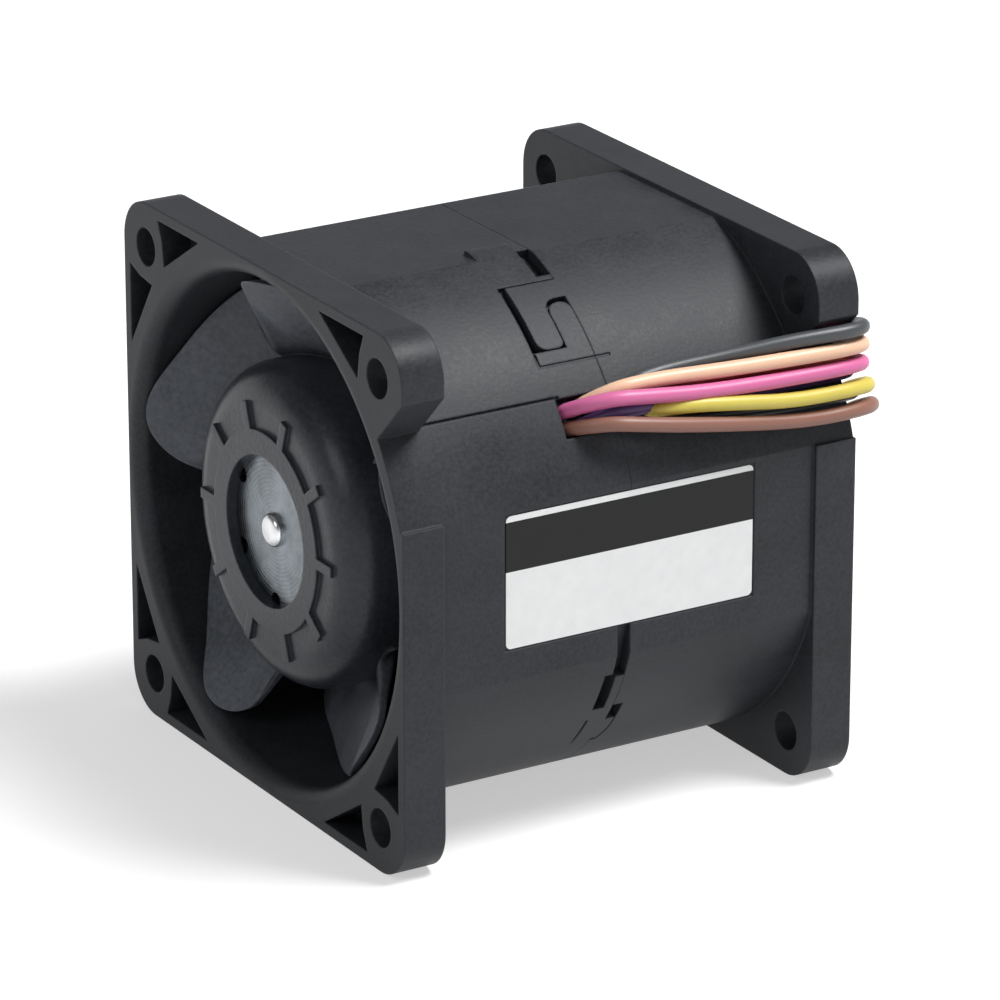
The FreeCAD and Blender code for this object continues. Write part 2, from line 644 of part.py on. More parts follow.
        # fine lines: under the hook's window, beside the latch, and from the ear to the lead slot
        beside_latch = facing_sketch(body, "inlet_latch_line", low, "casing_radius - line_depth")
        add_loop(beside_latch, joint_outline(stage, LATCH_LINE))
        pocket(body, beside_latch, "casing_radius")
        frame = facing_sketch(body, "inlet_hook_line", lean, "casing_radius - line_depth")
        add_loop(frame, joint_outline(stage, HOOK_LINE))
        pocket(body, frame, "casing_radius")
        slot_top = value("slot_angle") + math.degrees(value("slot_width / 2 / casing_radius"))
        step = facing_sketch(body, "inlet_slot_line", slot_top, "casing_radius - line_depth")
        add_loop(step, rectangle("flange_thickness", "0", "stage_depth - slot_length + 0.5", "line_width"))
        pocket(body, step, "casing_radius")
    else:
        line_lean = stage_angle(stage, lean)
        line_end = facing_sketch(body, "outlet_hook_line", line_lean, "casing_radius - line_depth")
        add_loop(line_end, joint_outline(stage, HOOK_LINE_END))
        pocket(body, line_end, "casing_radius")
        notch = joint_shape(body, stage, "outlet_notch", low, LATCH_NOTCH, "hook_floor", True)
        repeat(body, [notch], "2", "outlet_notches")
    return body


# Impellers

# Where a blade is cut for its loft: shares of the swept leading edge, then of the tip's wrap
LEAD_CUTS = (1.0, 0.7, 0.35)
WRAP_CUTS = (0.0, 0.16, 0.33, 0.5, 0.67, 0.84, 1.0)


def blade_section(body, stage, number, behind):
    """One cut of a blade through the axis: a thin slice from inside the hub's wall to the tip."""
    sweep = value("blade_sweep")
    wrap = value("blade_wrap")
    lead = (max(0.0, -behind) / sweep) ** 2.6
    share = (behind + sweep) / (sweep + wrap)
    bow = 4 * share * (1 - share)
    along = value("blade_pitch") * max(0.0, behind)
    reach = value("tip_radius") - (value("tip_radius") - value("hub_radius") - 0.6) * lead
    thick = value("blade_edge") + (value("blade_thick") - value("blade_edge")) * bow
    root = value("blade_root")
    drop = value("blade_drop")
    length = value("blade_pitch") * wrap
    near = value("blade_depth")
    if stage == INLET:
        tip_x, root_x = near + along + drop * lead, near + drop + (length - drop) * share
    else:
        tip_x, root_x = near + length - along, near + length - (length - drop) * share
    sketch = half_plane_sketch(body, "%s_blade_%d" % (stage, number), value("blade_angle") - behind)
    add_loop(sketch, [
        (str(root_x), str(root)),
        (str(tip_x), str(reach)),
        (str(tip_x + thick), str(reach)),
        (str(root_x + thick), str(root)),
    ])
    return sketch


def add_impeller(stage):
    body = stage_body(stage, "impeller")
    hub = revolve(body, stage + "_hub", [
        ("hub_face", "aperture_radius"),
        ("hub_face", "hub_radius"),
        ("hub_back", "hub_radius"),
        ("hub_back", "cup_radius"),
        ("cup_depth + cup_corner", "cup_radius"),
        ("cup_depth", "cup_radius - cup_corner"),
        ("cup_depth", "aperture_radius"),
    ])
    rim = value("hub_radius")
    face = value("hub_face")
    round_edges(body, hub, lambda e: is_ring(e, face, rim), "hub_round", stage + "_shoulder")

    # raised ring round the opening, and ribs from it to the shoulder
    ring = cross_sketch(body, stage + "_face_ring", "hub_depth")
    add_circle(ring, "face_ring")
    add_circle(ring, "aperture_radius")
    pad(body, ring, "rib_height + hub_wall / 4")
    rib = cross_sketch(body, stage + "_face_rib", "hub_depth")
    add_loop(rib, rectangle("face_ring - rib_width / 2", "-rib_width / 2", "rib_reach", "rib_width / 2"))
    bar = pad(body, rib, "rib_height + hub_wall / 4")
    repeat(body, [bar], "rib_count", stage + "_face_ribs")

    cuts = [-value("blade_sweep") * c for c in LEAD_CUTS] + [value("blade_wrap") * c for c in WRAP_CUTS]
    sections = [blade_section(body, stage, n, behind) for n, behind in enumerate(cuts)]
    blade = body.newObject("PartDesign::AdditiveLoft", stage + "_blade")
    blade.Profile = sections[0]
    blade.Sections = sections[1:]
    repeat(body, [blade], stage + "_blades", stage + "_blade_ring")
    return body


# Rotor inside: steel cup, magnet ring, shaft and what is on it

def add_rotor_cup(stage):
    body = stage_body(stage, "rotor_cup")
    revolve(body, stage + "_cup", [
        ("cup_depth", "shaft_radius"),
        ("cup_depth", "cup_radius - cup_corner"),
        ("cup_depth + cup_corner", "cup_radius"),
        ("hub_back", "cup_radius"),
        ("hub_back", "cup_bore"),
        ("cup_depth + cup_corner + cup_bend", "cup_bore"),
        ("cup_depth + cup_wall", "cup_radius - cup_corner - cup_bend"),
        ("cup_depth + cup_wall", "cup_boss_radius"),
        ("cup_boss_back", "cup_boss_radius"),
        ("cup_boss_back", "shaft_radius"),
    ])
    vents = cross_sketch(body, stage + "_vent", "cup_depth", value("pole_half_angle"))
    add_circle(vents, "vent_radius", ("aperture_radius - vent_inset", "0.001"))
    vent = pocket(body, vents, "cup_wall")
    repeat(body, [vent], "vent_count", stage + "_vents")
    return body


def add_magnet_ring(stage):
    body = stage_body(stage, "magnet_ring")
    section = rectangle("magnet_depth", "magnet_bore", "hub_back", "cup_bore")
    revolve(body, stage + "_magnet", section)
    return body


def add_shaft(stage):
    body = stage_body(stage, "shaft")
    turned = revolve(body, stage + "_shaft", [
        ("head_depth", "0"),
        ("head_depth", "head_radius"),
        ("cup_depth", "head_radius"),
        ("cup_depth", "shaft_radius"),
        ("clip_depth", "shaft_radius"),
        ("clip_depth", "clip_groove"),
        ("clip_depth + clip_thickness", "clip_groove"),
        ("clip_depth + clip_thickness", "shaft_radius"),
        ("shaft_back - shaft_chamfer", "shaft_radius"),
        ("shaft_back", "shaft_radius - shaft_chamfer"),
        ("shaft_back", "0"),
    ])
    front = value("head_depth")
    rim = value("head_radius")
    round_edges(body, turned, lambda e: is_ring(e, front, rim), "head_round", stage + "_shaft_dome")
    return body


def add_retaining_ring(stage):
    body = stage_body(stage, "retaining_ring")
    section = rectangle("clip_depth", "clip_groove", "clip_depth + clip_thickness", "clip_radius")
    revolve(body, stage + "_clip", section)
    mouth = cross_sketch(body, stage + "_clip_mouth", "clip_depth")
    add_loop(mouth, rectangle("0", "-clip_mouth / 2", "clip_radius + 1", "clip_mouth / 2"))
    pocket(body, mouth, "clip_thickness")
    return body


def add_preload_spring(stage):
    """A short coil spring from the cup's collar to the front bearing's inner ring."""
    wire = value("spring_wire")
    start = value("cup_boss_back") + wire / 2
    length = value("front_bearing") - value("cup_boss_back") - wire
    radius = value("spring_radius")
    helix = Part.makeHelix(length / value("spring_turns"), length, radius)
    ring = Part.Circle(Vector(radius, 0, 0), Vector(0, 1, 0), wire / 2).toShape()
    coil = Part.Wire(helix.Edges).makePipeShell([Part.Wire([ring])], True, True)
    spring = doc.addObject("Part::Feature", stage + "_preload_spring")
    spring.Label = stage + "_preload_spring"
    spring.Shape = coil
    turn = Rotation(Vector(0, 0, 1), STAGE_TURN[stage])
    stage_place = Placement(Vector(value(STAGE_FACE[stage]), 0, value("half_width")), turn)
    upright = Placement(Vector(start, 0, 0), Rotation(Vector(0, 1, 0), 90))
    spring.Placement = stage_place.multiply(upright)
    return spring


# Bearings: a sleeve, and two ball bearings in it

def track(body, stage, name, start):
    """Cut the ball track of one bearing."""
    cut = body.newObject("PartDesign::SubtractiveTorus", "%s_%s" % (stage, name))
    cut.Placement = Placement(Vector(0, 0, 0), Rotation(Vector(0, 1, 0), 90))
    cut.setExpression("Placement.Base.x", bound("%s + bearing_width / 2" % start))
    cut.setExpression("Radius1", bound("ball_orbit"))
    cut.setExpression("Radius2", bound("track_radius"))
    return cut


def add_bearing_rings(stage, name, inner, outer):
    body = stage_body(stage, name)
    for start in ("front_bearing", "rear_bearing"):
        section = rectangle(start, inner, start + " + bearing_width", outer)
        revolve(body, "%s_%s_%s" % (stage, name, start), section)
        track(body, stage, name + "_track_" + start, start)
    return body


def add_bearing_balls(stage):
    body = stage_body(stage, "bearing_balls")
    ball = body.newObject("PartDesign::AdditiveSphere", stage + "_ball")
    ball.setExpression("Radius", bound("ball_radius"))
    ball.setExpression("Placement.Base.x", bound("front_bearing + bearing_width / 2"))
    ball.setExpression("Placement.Base.z", bound("ball_orbit"))
    second = body.newObject("PartDesign::AdditiveSphere", stage + "_second_ball")
    second.setExpression("Radius", bound("ball_radius"))
    second.setExpression("Placement.Base.x", bound("rear_bearing + bearing_width / 2"))
    second.setExpression("Placement.Base.z", bound("ball_orbit"))
    repeat(body, [ball, second], "ball_count", stage + "_balls")
    return body


def add_bearing_cages(stage):
    body = stage_body(stage, "bearing_cages")
    cuts = []
    for start in ("front_bearing", "rear_bearing"):
        middle = start + " + bearing_width / 2"
        section = rectangle(
            middle + " + cage_offset", "race_inner + cage_play",
            middle + " + cage_offset + cage_width", "race_outer - cage_play")
        revolve(body, "%s_cage_%s" % (stage, start), section)
    for start in ("front_bearing", "rear_bearing"):
        cell = body.newObject("PartDesign::SubtractiveSphere", "%s_cell_%s" % (stage, start))
        cell.setExpression("Radius", bound("track_radius"))
        cell.setExpression("Placement.Base.x", bound(start + " + bearing_width / 2"))
        cell.setExpression("Placement.Base.z", bound("ball_orbit"))
        cuts.append(cell)
    repeat(body, cuts, "ball_count", stage + "_cells")
    return body


def add_bearing_sleeve(stage):
    body = stage_body(stage, "bearing_sleeve")
    end = "sleeve_back"
    revolve(body, stage + "_sleeve", [
        ("sleeve_depth", "bearing_radius"),
        ("sleeve_depth", "sleeve_radius"),
        (end, "sleeve_radius"),
        (end, "bearing_radius"),
        ("rear_bearing", "bearing_radius"),
        ("rear_bearing", "sleeve_shoulder"),
        ("front_bearing + bearing_width", "sleeve_shoulder"),
        ("front_bearing + bearing_width", "bearing_radius"),
    ])
    return body


# Stator: core, insulator, windings

def slot_edge(radius):
    """Half the width of a stator slot at a distance from the axis, beside teeth with even sides."""
    return "((%s) * sin(pole_half_angle * 1 deg) - tooth_half) / cos(pole_half_angle * 1 deg)" % radius


def add_stator_core(stage):
    body = stage_body(stage, "stator_core")
    core = cross_sketch(body, stage + "_core", "stack_depth")
    add_circle(core, "stator_radius")
    add_circle(core, "sleeve_radius")
    pad(body, core, "stack_length")
    slots = cross_sketch(body, stage + "_core_slot", "stack_depth")
    add_loop(slots, [
        ("yoke_radius", "-(%s)" % slot_edge("yoke_radius")),
        ("shoe_radius", "-(%s)" % slot_edge("shoe_radius")),
        ("shoe_radius", "-slot_mouth / 2"),
        ("stator_radius + 1", "-slot_mouth / 2"),
        ("stator_radius + 1", "slot_mouth / 2"),
        ("shoe_radius", "slot_mouth / 2"),
        ("shoe_radius", slot_edge("shoe_radius")),
        ("yoke_radius", slot_edge("yoke_radius")),
    ])
    slot = pocket(body, slots, "stack_length")
    repeat(body, [slot], "pole_count", stage + "_core_slots")
    return body


def add_insulator(stage):
    body = stage_body(stage, "insulator")
    turn = value("pole_half_angle")
    for end, depth in (("front", "stack_depth - insulator_thickness"), ("back", "stack_back")):
        ring = cross_sketch(body, "%s_insulator_%s" % (stage, end), depth)
        add_circle(ring, "yoke_radius")
        add_circle(ring, "sleeve_radius")
        pad(body, ring, "insulator_thickness")
        arm = cross_sketch(body, "%s_insulator_arm_%s" % (stage, end), depth, turn)
        add_loop(arm, rectangle("yoke_radius - 0.8", "-tooth_half", "shoe_radius", "tooth_half"))
        finger = pad(body, arm, "insulator_thickness")
        repeat(body, [finger], "pole_count", "%s_insulator_arms_%s" % (stage, end))
    return body


def add_coils(stage):
    """One winding round each tooth, over the insulator."""
    body = stage_body(stage, "coils")
    coil = facing_sketch(body, stage + "_coil", 180 - value("pole_half_angle"), "coil_inner")
    near = "stack_depth - insulator_thickness"
    far = "stack_back + insulator_thickness"
    inside = "tooth_half + coil_play"
    add_loop(coil, rectangle(
        near + " - coil_thickness", "-(%s + coil_thickness)" % inside,
        far + " + coil_thickness", inside + " + coil_thickness"))
    add_loop(coil, rectangle(near, "-(%s)" % inside, far, inside))
    winding = pad(body, coil, "coil_outer - coil_inner")
    repeat(body, [winding], "pole_count", stage + "_windings")
    return body


# Circuit board and what is soldered to it

def add_circuit_board(stage):
    body = stage_body(stage, "circuit_board")
    revolve(body, stage + "_board", rectangle("board_depth", "board_hole", "board_back", "board_radius"))
    return body


def add_board_components(stage):
    body = stage_body(stage, "board_components")
    for number, turn in enumerate((40, 130, 220)):
        chip = cross_sketch(body, "%s_driver_%d" % (stage, number), "board_back", turn)
        add_loop(chip, rectangle("9", "-driver_size / 2", "9 + driver_size", "driver_size / 2"))
        pad(body, chip, "driver_height")
    for number, turn in enumerate((0, 40, 80)):
        sensor = cross_sketch(body, "%s_sensor_%d" % (stage, number), "board_depth", turn)
        add_loop(sensor, rectangle(
            "board_radius - 1 - sensor_size", "-sensor_size / 2", "board_radius - 1", "sensor_size / 2"))
        pad(body, sensor, "sensor_height", reverse=True)
    return body


# Label, bare, across both housings

def add_label():
    body = doc.addObject("PartDesign::Body", "label")
    body.Label = "label"
    body.setExpression("Placement.Base.z", bound("half_width + label_rise"))
    body.setExpression("Placement.Base.y", bound("-(flat_half - label_recess)"))
    sketch = body.newObject("Sketcher::SketchObject", "label_outline")
    attach(body, sketch, "XZ_Plane", Placement())
    add_loop(sketch, rectangle(
        "-label_width / 2", "-label_height / 2", "label_width / 2", "label_height / 2"))
    sheet_of_label = pad(body, sketch, "label_thickness")

    def across(edge):
        return abs(edge.tangentAt(edge.FirstParameter).y) > 0.99

    round_edges(body, sheet_of_label, across, "0.6", "label_corners")
    return body


# Leads: each follows straight runs joined by arcs as large as the runs allow

ARC_SHARE = 0.45


def route_wire(points):
    """Straight runs with a tangent arc at each corner, and the arcs' radii."""
    spots = [Vector(*p) for p in points]
    edges, radii = [], []
    here = spots[0]
    for before, corner, after in zip(spots, spots[1:], spots[2:]):
        back = before - corner
        ahead = after - corner
        shorter = min(back.Length, ahead.Length)
        back.normalize()
        ahead.normalize()
        turn = math.pi - back.getAngle(ahead)
        reach = ARC_SHARE * shorter
        radius = reach / math.tan(turn / 2)
        start = corner + back * reach
        end = corner + ahead * reach
        inward = back + ahead
        inward.normalize()
        middle = corner + inward * (radius / math.cos(turn / 2) - radius)
        edges.append(Part.LineSegment(here, start).toShape())
        edges.append(Part.Arc(start, middle, end).toShape())
        radii.append(radius)
        here = end
    edges.append(Part.LineSegment(here, spots[-1]).toShape())
    return Part.Wire(edges), radii


def add_tube(name, points, diameter):
    wire, radii = route_wire(points)
    first = Vector(*points[0])
    heading = Vector(*points[1]) - first
    ring = Part.Wire([Part.Circle(first, heading, diameter / 2).toShape()])
    tube = doc.addObject("Part::Feature", name)
    tube.Label = name
    tube.Shape = wire.makePipeShell([ring], True, True)
    section = math.pi * diameter ** 2 / 4
    share = tube.Shape.Volume / (section * wire.Length)
    bends = ", ".join("%.1f" % radius for radius in radii)
    print("%s: length %.1f, volume share %.4f, radii %s" % (name, wire.Length, share, bends))
    return tube


# Route points of each lead from the slot's floor to the put-away coil, brown lowest and grey highest
LEADS = {
    "lead_brown": (
        (-0.3, -24.58, 45.0), (1.47, -27.9, 46.4), (5.0, -29.8, 44.3), (12.2, -30.9, 43.7),
        (21.2, -30.9, 43.0), (29.2, -30.7, 43.0), (32.32, -27.6, 42.2), (32.98, -20.0, 38.4),
        (32.8, -10.0, 29.0), (32.44, 0.0, 16.0), (31.48, 10.0, 6.0), (29.92, 20.0, 1.95), (29.44, 31.0, 1.63),
    ),
    "lead_black": (
        (-2.1, -24.58, 45.0), (-0.1, -27.9, 46.3), (5.0, -28.6, 45.4), (12.2, -29.0, 44.9),
        (21.2, -29.1, 44.5), (28.25, -29.1, 44.4), (30.6, -26.2, 43.4), (31.2, -19.4, 39.8),
        (31.1, -10.0, 31.0), (30.8, 0.0, 18.4), (30.2, 10.0, 8.2), (29.68, 20.0, 3.75), (29.44, 31.0, 3.41),
    ),
    "lead_yellow": (
        (-5.7, -24.58, 45.0), (-3.7, -30.0, 46.8), (3.28, -30.4, 46.7), (9.5, -30.8, 46.3),
        (19.4, -30.9, 45.6), (28.6, -30.7, 45.4), (32.08, -27.8, 44.6), (32.92, -20.4, 41.2),
        (32.8, -10.0, 32.6), (32.44, 0.0, 20.4), (31.54, 10.0, 10.2), (30.04, 20.0, 5.65), (29.44, 31.0, 5.19),
    ),
    "lead_purple": (
        (-3.9, -24.58, 45.0), (-1.9, -28.7, 47.7), (4.14, -28.0, 47.0), (11.3, -28.2, 46.7),
        (20.3, -28.2, 46.6), (27.8, -28.1, 46.5), (30.4, -26.0, 45.8), (31.1, -19.6, 42.6),
        (31.1, -10.0, 34.6), (30.8, 0.0, 22.8), (30.25, 10.0, 12.4), (29.74, 20.0, 7.45), (29.44, 31.0, 6.97),
    ),
    "lead_pink": (
        (-5.7, -23.55, 46.5), (-3.7, -28.9, 49.4), (3.28, -29.4, 48.7), (9.5, -29.9, 48.2),
        (18.5, -30.4, 48.0), (28.0, -30.5, 47.9), (31.72, -27.8, 47.3), (32.8, -20.6, 44.2),
        (32.8, -10.0, 36.2), (32.44, 0.0, 24.8), (31.6, 10.0, 14.4), (30.1, 20.0, 9.25), (29.44, 31.0, 8.75),
    ),
    "lead_red": (
        (-2.1, -23.55, 46.5), (-0.1, -27.1, 48.0), (5.0, -26.9, 48.25), (12.2, -27.2, 48.4),
        (20.3, -27.4, 48.4), (27.4, -27.6, 48.3), (30.2, -25.6, 47.6), (31.0, -19.4, 44.6),
        (31.1, -10.0, 37.4), (30.8, 0.0, 26.8), (30.3, 10.0, 16.4), (29.8, 20.0, 11.05), (29.44, 31.0, 10.53),
    ),
    "lead_orange": (
        (-3.9, -23.55, 46.5), (-1.9, -27.4, 49.6), (4.14, -27.7, 49.9), (11.3, -28.9, 49.9),
        (19.4, -30.0, 50.0), (28.0, -30.5, 50.0), (31.48, -28.0, 49.5), (32.68, -21.0, 46.8),
        (32.8, -10.6, 39.4), (32.44, 0.0, 28.8), (31.66, 10.0, 18.4), (30.16, 20.0, 12.85), (29.44, 31.0, 12.31),
    ),
    "lead_grey": (
        (-0.3, -23.55, 46.5), (1.47, -26.1, 49.4), (5.9, -25.75, 49.95), (13.1, -27.2, 50.6),
        (20.3, -29.3, 51.7), (27.6, -30.7, 52.0), (31.24, -28.4, 51.6), (32.44, -21.6, 49.2),
        (32.8, -11.2, 42.2), (32.44, -0.6, 31.6), (31.72, 9.8, 20.8), (30.22, 20.0, 14.65), (29.44, 31.0, 14.09),
    ),
}


def coil_body(name):
    """A body whose own origin is on the surface, at the middle of the put-away coil."""
    body = doc.addObject("PartDesign::Body", name)
    body.Label = name
    body.setExpression("Placement.Base.x", bound("coil_middle_x"))
    body.setExpression("Placement.Base.y", bound("coil_middle_y"))
    return body


def add_lead_coil():
    """The outer shape of the put-away length of all the leads, lying on its tie."""
    body = coil_body("lead_coil")
    sketch = body.newObject("Sketcher::SketchObject", "coil_outline")
    attach(body, sketch, "XY_Plane", Placement())
    sketch.setExpression("AttachmentOffset.Base.z", bound("tie_thickness"))
    add_circle(sketch, "coil_out_radius")
    add_circle(sketch, "coil_in_radius")
    pad(body, sketch, "coil_height")
    return body


def add_lead_tie():
    """A flat band round the coil's turns, on the side away from the fan."""
    body = coil_body("lead_tie")
    sketch = body.newObject("Sketcher::SketchObject", "tie_outline")
    attach(body, sketch, "XZ_Plane", Placement())
    sketch.setExpression("AttachmentOffset.Base.z", bound("-tie_width / 2"))
    add_loop(sketch, rectangle(
        "tie_inner - tie_thickness", "0.001", "coil_out_radius + tie_thickness", "coil_top + tie_thickness"))
    add_loop(sketch, rectangle("tie_inner", "tie_thickness", "coil_out_radius", "coil_top"))
    pad(body, sketch, "tie_width")
    return body


def add_lead_ends():
    """Stripped and tinned ends, one above another inside the coil."""
    body = coil_body("lead_ends")
    body.Placement = Placement(Vector(0, 0, 0), Rotation(Vector(0, 0, 1), value("end_turn")))
    body.setExpression("Placement.Base.x", bound("coil_middle_x + end_radius * cos(end_angle * 1 deg)"))
    body.setExpression("Placement.Base.y", bound("coil_middle_y + end_radius * sin(end_angle * 1 deg)"))
    body.setExpression("Placement.Base.z", bound("tie_thickness + lead_radius"))
    sketch = cross_sketch(body, "lead_end", "0")
    add_circle(sketch, "strand_diameter / 2")
    strand = pad(body, sketch, "strand_length")
    pattern = body.newObject("PartDesign::LinearPattern", "lead_end_stack")
    pattern.Originals = [strand]
    pattern.Direction = (origin_part(body, "Z_Axis"), [""])
    pattern.setExpression("Occurrences", bound("lead_count"))
    pattern.setExpression("Length", bound("layer_pitch * (lead_count - 1)"))
    body.Tip = pattern
    return body


def build():
    parts = []
    for stage in (INLET, OUTLET):
        parts.append(add_housing(stage))
        parts.append(add_impeller(stage))
        parts.append(add_rotor_cup(stage))
        parts.append(add_magnet_ring(stage))
        parts.append(add_shaft(stage))
        parts.append(add_retaining_ring(stage))
        parts.append(add_preload_spring(stage))
        parts.append(add_bearing_rings(stage, "bearing_inner_rings", "shaft_radius", "race_inner"))
        parts.append(add_bearing_rings(stage, "bearing_outer_rings", "race_outer", "bearing_radius"))
        parts.append(add_bearing_balls(stage))
        parts.append(add_bearing_cages(stage))
        parts.append(add_bearing_sleeve(stage))
        parts.append(add_stator_core(stage))
        parts.append(add_insulator(stage))
        parts.append(add_coils(stage))
        parts.append(add_circuit_board(stage))
        parts.append(add_board_components(stage))
    parts.append(add_label())
    for name, points in LEADS.items():
        parts.append(add_tube(name, points, value("lead_diameter")))
    parts.append(add_lead_coil())
    parts.append(add_lead_tie())
    parts.append(add_lead_ends())
    return parts


def check_and_write(parts):
    doc.recompute()
    bad = []
    for item in doc.Objects:
        if "Invalid" in item.State or "Error" in item.State:
            bad.append("%s: %s" % (item.Label, item.State))
    for part in parts:
        if part.Shape.isNull() or not part.Shape.isValid():
            bad.append("%s: bad shape" % part.Label)
    if bad:
        raise RuntimeError("\n".join(bad))
    os.makedirs("parts", exist_ok=True)
    for part in parts:
        part.Shape.exportStep("parts/%s.step" % part.Label)
        print("%-28s solids %2d  volume %9.2f" % (part.Label, len(part.Shape.Solids), part.Shape.Volume))


check_and_write(build())
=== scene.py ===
# %% [markdown]
# # A counter-rotating cooling fan
# Two fan motors sit back to back in one square casing and turn opposite ways, so the second
# impeller straightens the swirl that the first one leaves. The solid shapes come from the CAD
# model. This lesson adds what the eye needs: finishes, leads, a bare label, light and a camera.

# %% The frame
import math
import bpy
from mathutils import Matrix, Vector


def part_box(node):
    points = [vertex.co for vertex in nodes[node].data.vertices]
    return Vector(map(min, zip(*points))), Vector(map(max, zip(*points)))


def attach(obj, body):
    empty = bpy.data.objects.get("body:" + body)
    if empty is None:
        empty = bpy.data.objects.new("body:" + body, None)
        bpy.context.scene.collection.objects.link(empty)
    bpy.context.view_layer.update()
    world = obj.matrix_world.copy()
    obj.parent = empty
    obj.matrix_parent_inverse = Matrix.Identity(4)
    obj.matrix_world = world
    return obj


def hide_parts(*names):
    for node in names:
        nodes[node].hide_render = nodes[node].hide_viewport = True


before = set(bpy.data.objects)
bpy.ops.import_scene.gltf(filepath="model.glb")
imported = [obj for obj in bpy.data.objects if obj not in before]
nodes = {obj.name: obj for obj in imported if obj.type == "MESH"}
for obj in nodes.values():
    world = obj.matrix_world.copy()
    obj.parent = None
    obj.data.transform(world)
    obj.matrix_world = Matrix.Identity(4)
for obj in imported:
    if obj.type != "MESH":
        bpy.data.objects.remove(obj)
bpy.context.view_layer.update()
MM = 0.001
AXIS_HEIGHT = 30 * MM
print("nodes loaded:", len(nodes))

# %% [markdown]
# ## Camera
# The fan was photographed from a little above, on its inlet side, through a long lens, so its
# parallel edges stay almost parallel. Azimuth and elevation say where the camera stands, and the
# lens follows from how large one millimetre is in the picture.

# %% Camera
AZIMUTH, ELEVATION = math.radians(-31.18), math.radians(20.64)
AIM = Vector((1.79, 0, 27.9)) * MM
DISTANCE = 676.8 * MM

back = Vector((
    math.sin(AZIMUTH) * math.cos(ELEVATION),
    -math.cos(AZIMUTH) * math.cos(ELEVATION),
    math.sin(ELEVATION),
))
lens = bpy.data.cameras.new("camera")
lens.sensor_width = 36
lens.lens = 223.2
lens.clip_start, lens.clip_end = 0.05, 20
camera = bpy.data.objects.new("camera", lens)
bpy.context.scene.collection.objects.link(camera)
camera.location = AIM + back * DISTANCE
camera.rotation_mode = "QUATERNION"
camera.rotation_quaternion = (-back).to_track_quat("-Z", "Y")
bpy.context.scene.camera = camera
print("camera at", tuple(round(c, 3) for c in camera.location))

# %% [markdown]
# ## Tools for finishes
# A colour is written as the hex value that it has on a screen, and the shader wants it linear.
# One small function adds a node, sets it and links it, which keeps each finish short to read.

# %% Colour and nodes
def linear(hex_colour):
    """Screen colour to the linear red, green, blue and alpha that a shader takes."""
    parts = [int(hex_colour[i:i + 2], 16) / 255 for i in (1, 3, 5)]
    return [c / 12.92 if c <= 0.04045 else ((c + 0.055) / 1.055) ** 2.4 for c in parts] + [1.0]


def add_node(tree, kind, settings=None, inputs=None):
    """A node with its settings; each input gets a value or a link from another node's socket."""
    node = tree.nodes.new(kind)
    for name, setting in (settings or {}).items():
        setattr(node, name, setting)
    for name, given in (inputs or {}).items():
        if isinstance(given, bpy.types.NodeSocket):
            tree.links.new(given, node.inputs[name])
        else:
            node.inputs[name].default_value = given
    return node


def start_finish(name, hex_colour, roughness, metallic=0.0):
    """A new material, its tree, its shader and the coordinates of the object that wears it."""
    finish = bpy.data.materials.new(name)
    finish.use_nodes = True
    tree = finish.node_tree
    shader = tree.nodes["Principled BSDF"]
    shader.inputs["Base Color"].default_value = linear(hex_colour)
    shader.inputs["Roughness"].default_value = roughness
    shader.inputs["Metallic"].default_value = metallic
    place = add_node(tree, "ShaderNodeTexCoord").outputs["Object"]
    return finish, tree, shader, place


def wear(node_name, finish):
    """Put a finish on a CAD node."""
    slots = nodes[node_name].data.materials
    slots.clear()
    slots.append(finish)


# %% [markdown]
# ## Tools for repeated shapes
# Windings, strands and the tie's teeth repeat by a rule, so Geometry Nodes make them. A tree takes its
# sizes as named inputs. It is run once, and what it made is kept as a plain mesh, because an exported
# model has no instances and no modifiers.

# %% Trees
def start_tree(name, whole_numbers, sizes):
    """A Geometry Nodes tree with named inputs, and the sockets that carry them."""
    tree = bpy.data.node_groups.new(name, "GeometryNodeTree")
    for label in whole_numbers:
        tree.interface.new_socket(label, in_out="INPUT", socket_type="NodeSocketInt")
    for label in sizes:
        tree.interface.new_socket(label, in_out="INPUT", socket_type="NodeSocketFloat")
    tree.interface.new_socket("Finish", in_out="INPUT", socket_type="NodeSocketMaterial")
    tree.interface.new_socket("Mesh", in_out="OUTPUT", socket_type="NodeSocketGeometry")
    return tree, add_node(tree, "NodeGroupInput").outputs


def sum_of(tree, operation, *terms):
    """The result of one sum on numbers or sockets."""
    return add_node(tree, "ShaderNodeMath", {"operation": operation}, dict(enumerate(terms))).outputs[0]


def end_tree(tree, geometry, finish, smooth):
    """Every tree ends alike: copies made real, shaded and given their finish."""
    real = add_node(tree, "GeometryNodeRealizeInstances", None, {"Geometry": geometry})
    shaded = add_node(tree, "GeometryNodeSetShadeSmooth", None, {
        "Geometry": real.outputs["Geometry"], "Shade Smooth": smooth})
    painted = add_node(tree, "GeometryNodeSetMaterial", None, {
        "Geometry": shaded.outputs["Geometry"], "Material": finish})
    add_node(tree, "NodeGroupOutput", None, {"Mesh": painted.outputs["Geometry"]})


def made_by_nodes(name, tree, given, finish):
    """Run a tree once with the given numbers and keep its result as a plain mesh at the origin."""
    seed = bpy.data.objects.new(name, bpy.data.meshes.new(name + "_seed"))
    bpy.context.scene.collection.objects.link(seed)
    worker = seed.modifiers.new("make", "NODES")
    worker.node_group = tree
    for item in tree.interface.items_tree:
        if item.name == "Finish":
            worker[item.identifier] = finish
        elif item.name in given:
            worker[item.identifier] = given[item.name]
    bpy.context.view_layer.update()
    made = seed.evaluated_get(bpy.context.evaluated_depsgraph_get())
    mesh = bpy.data.meshes.new_from_object(made)
    seed.modifiers.remove(worker)
    seed.data = mesh
    print(name, "has", len(mesh.polygons), "faces")
    return seed


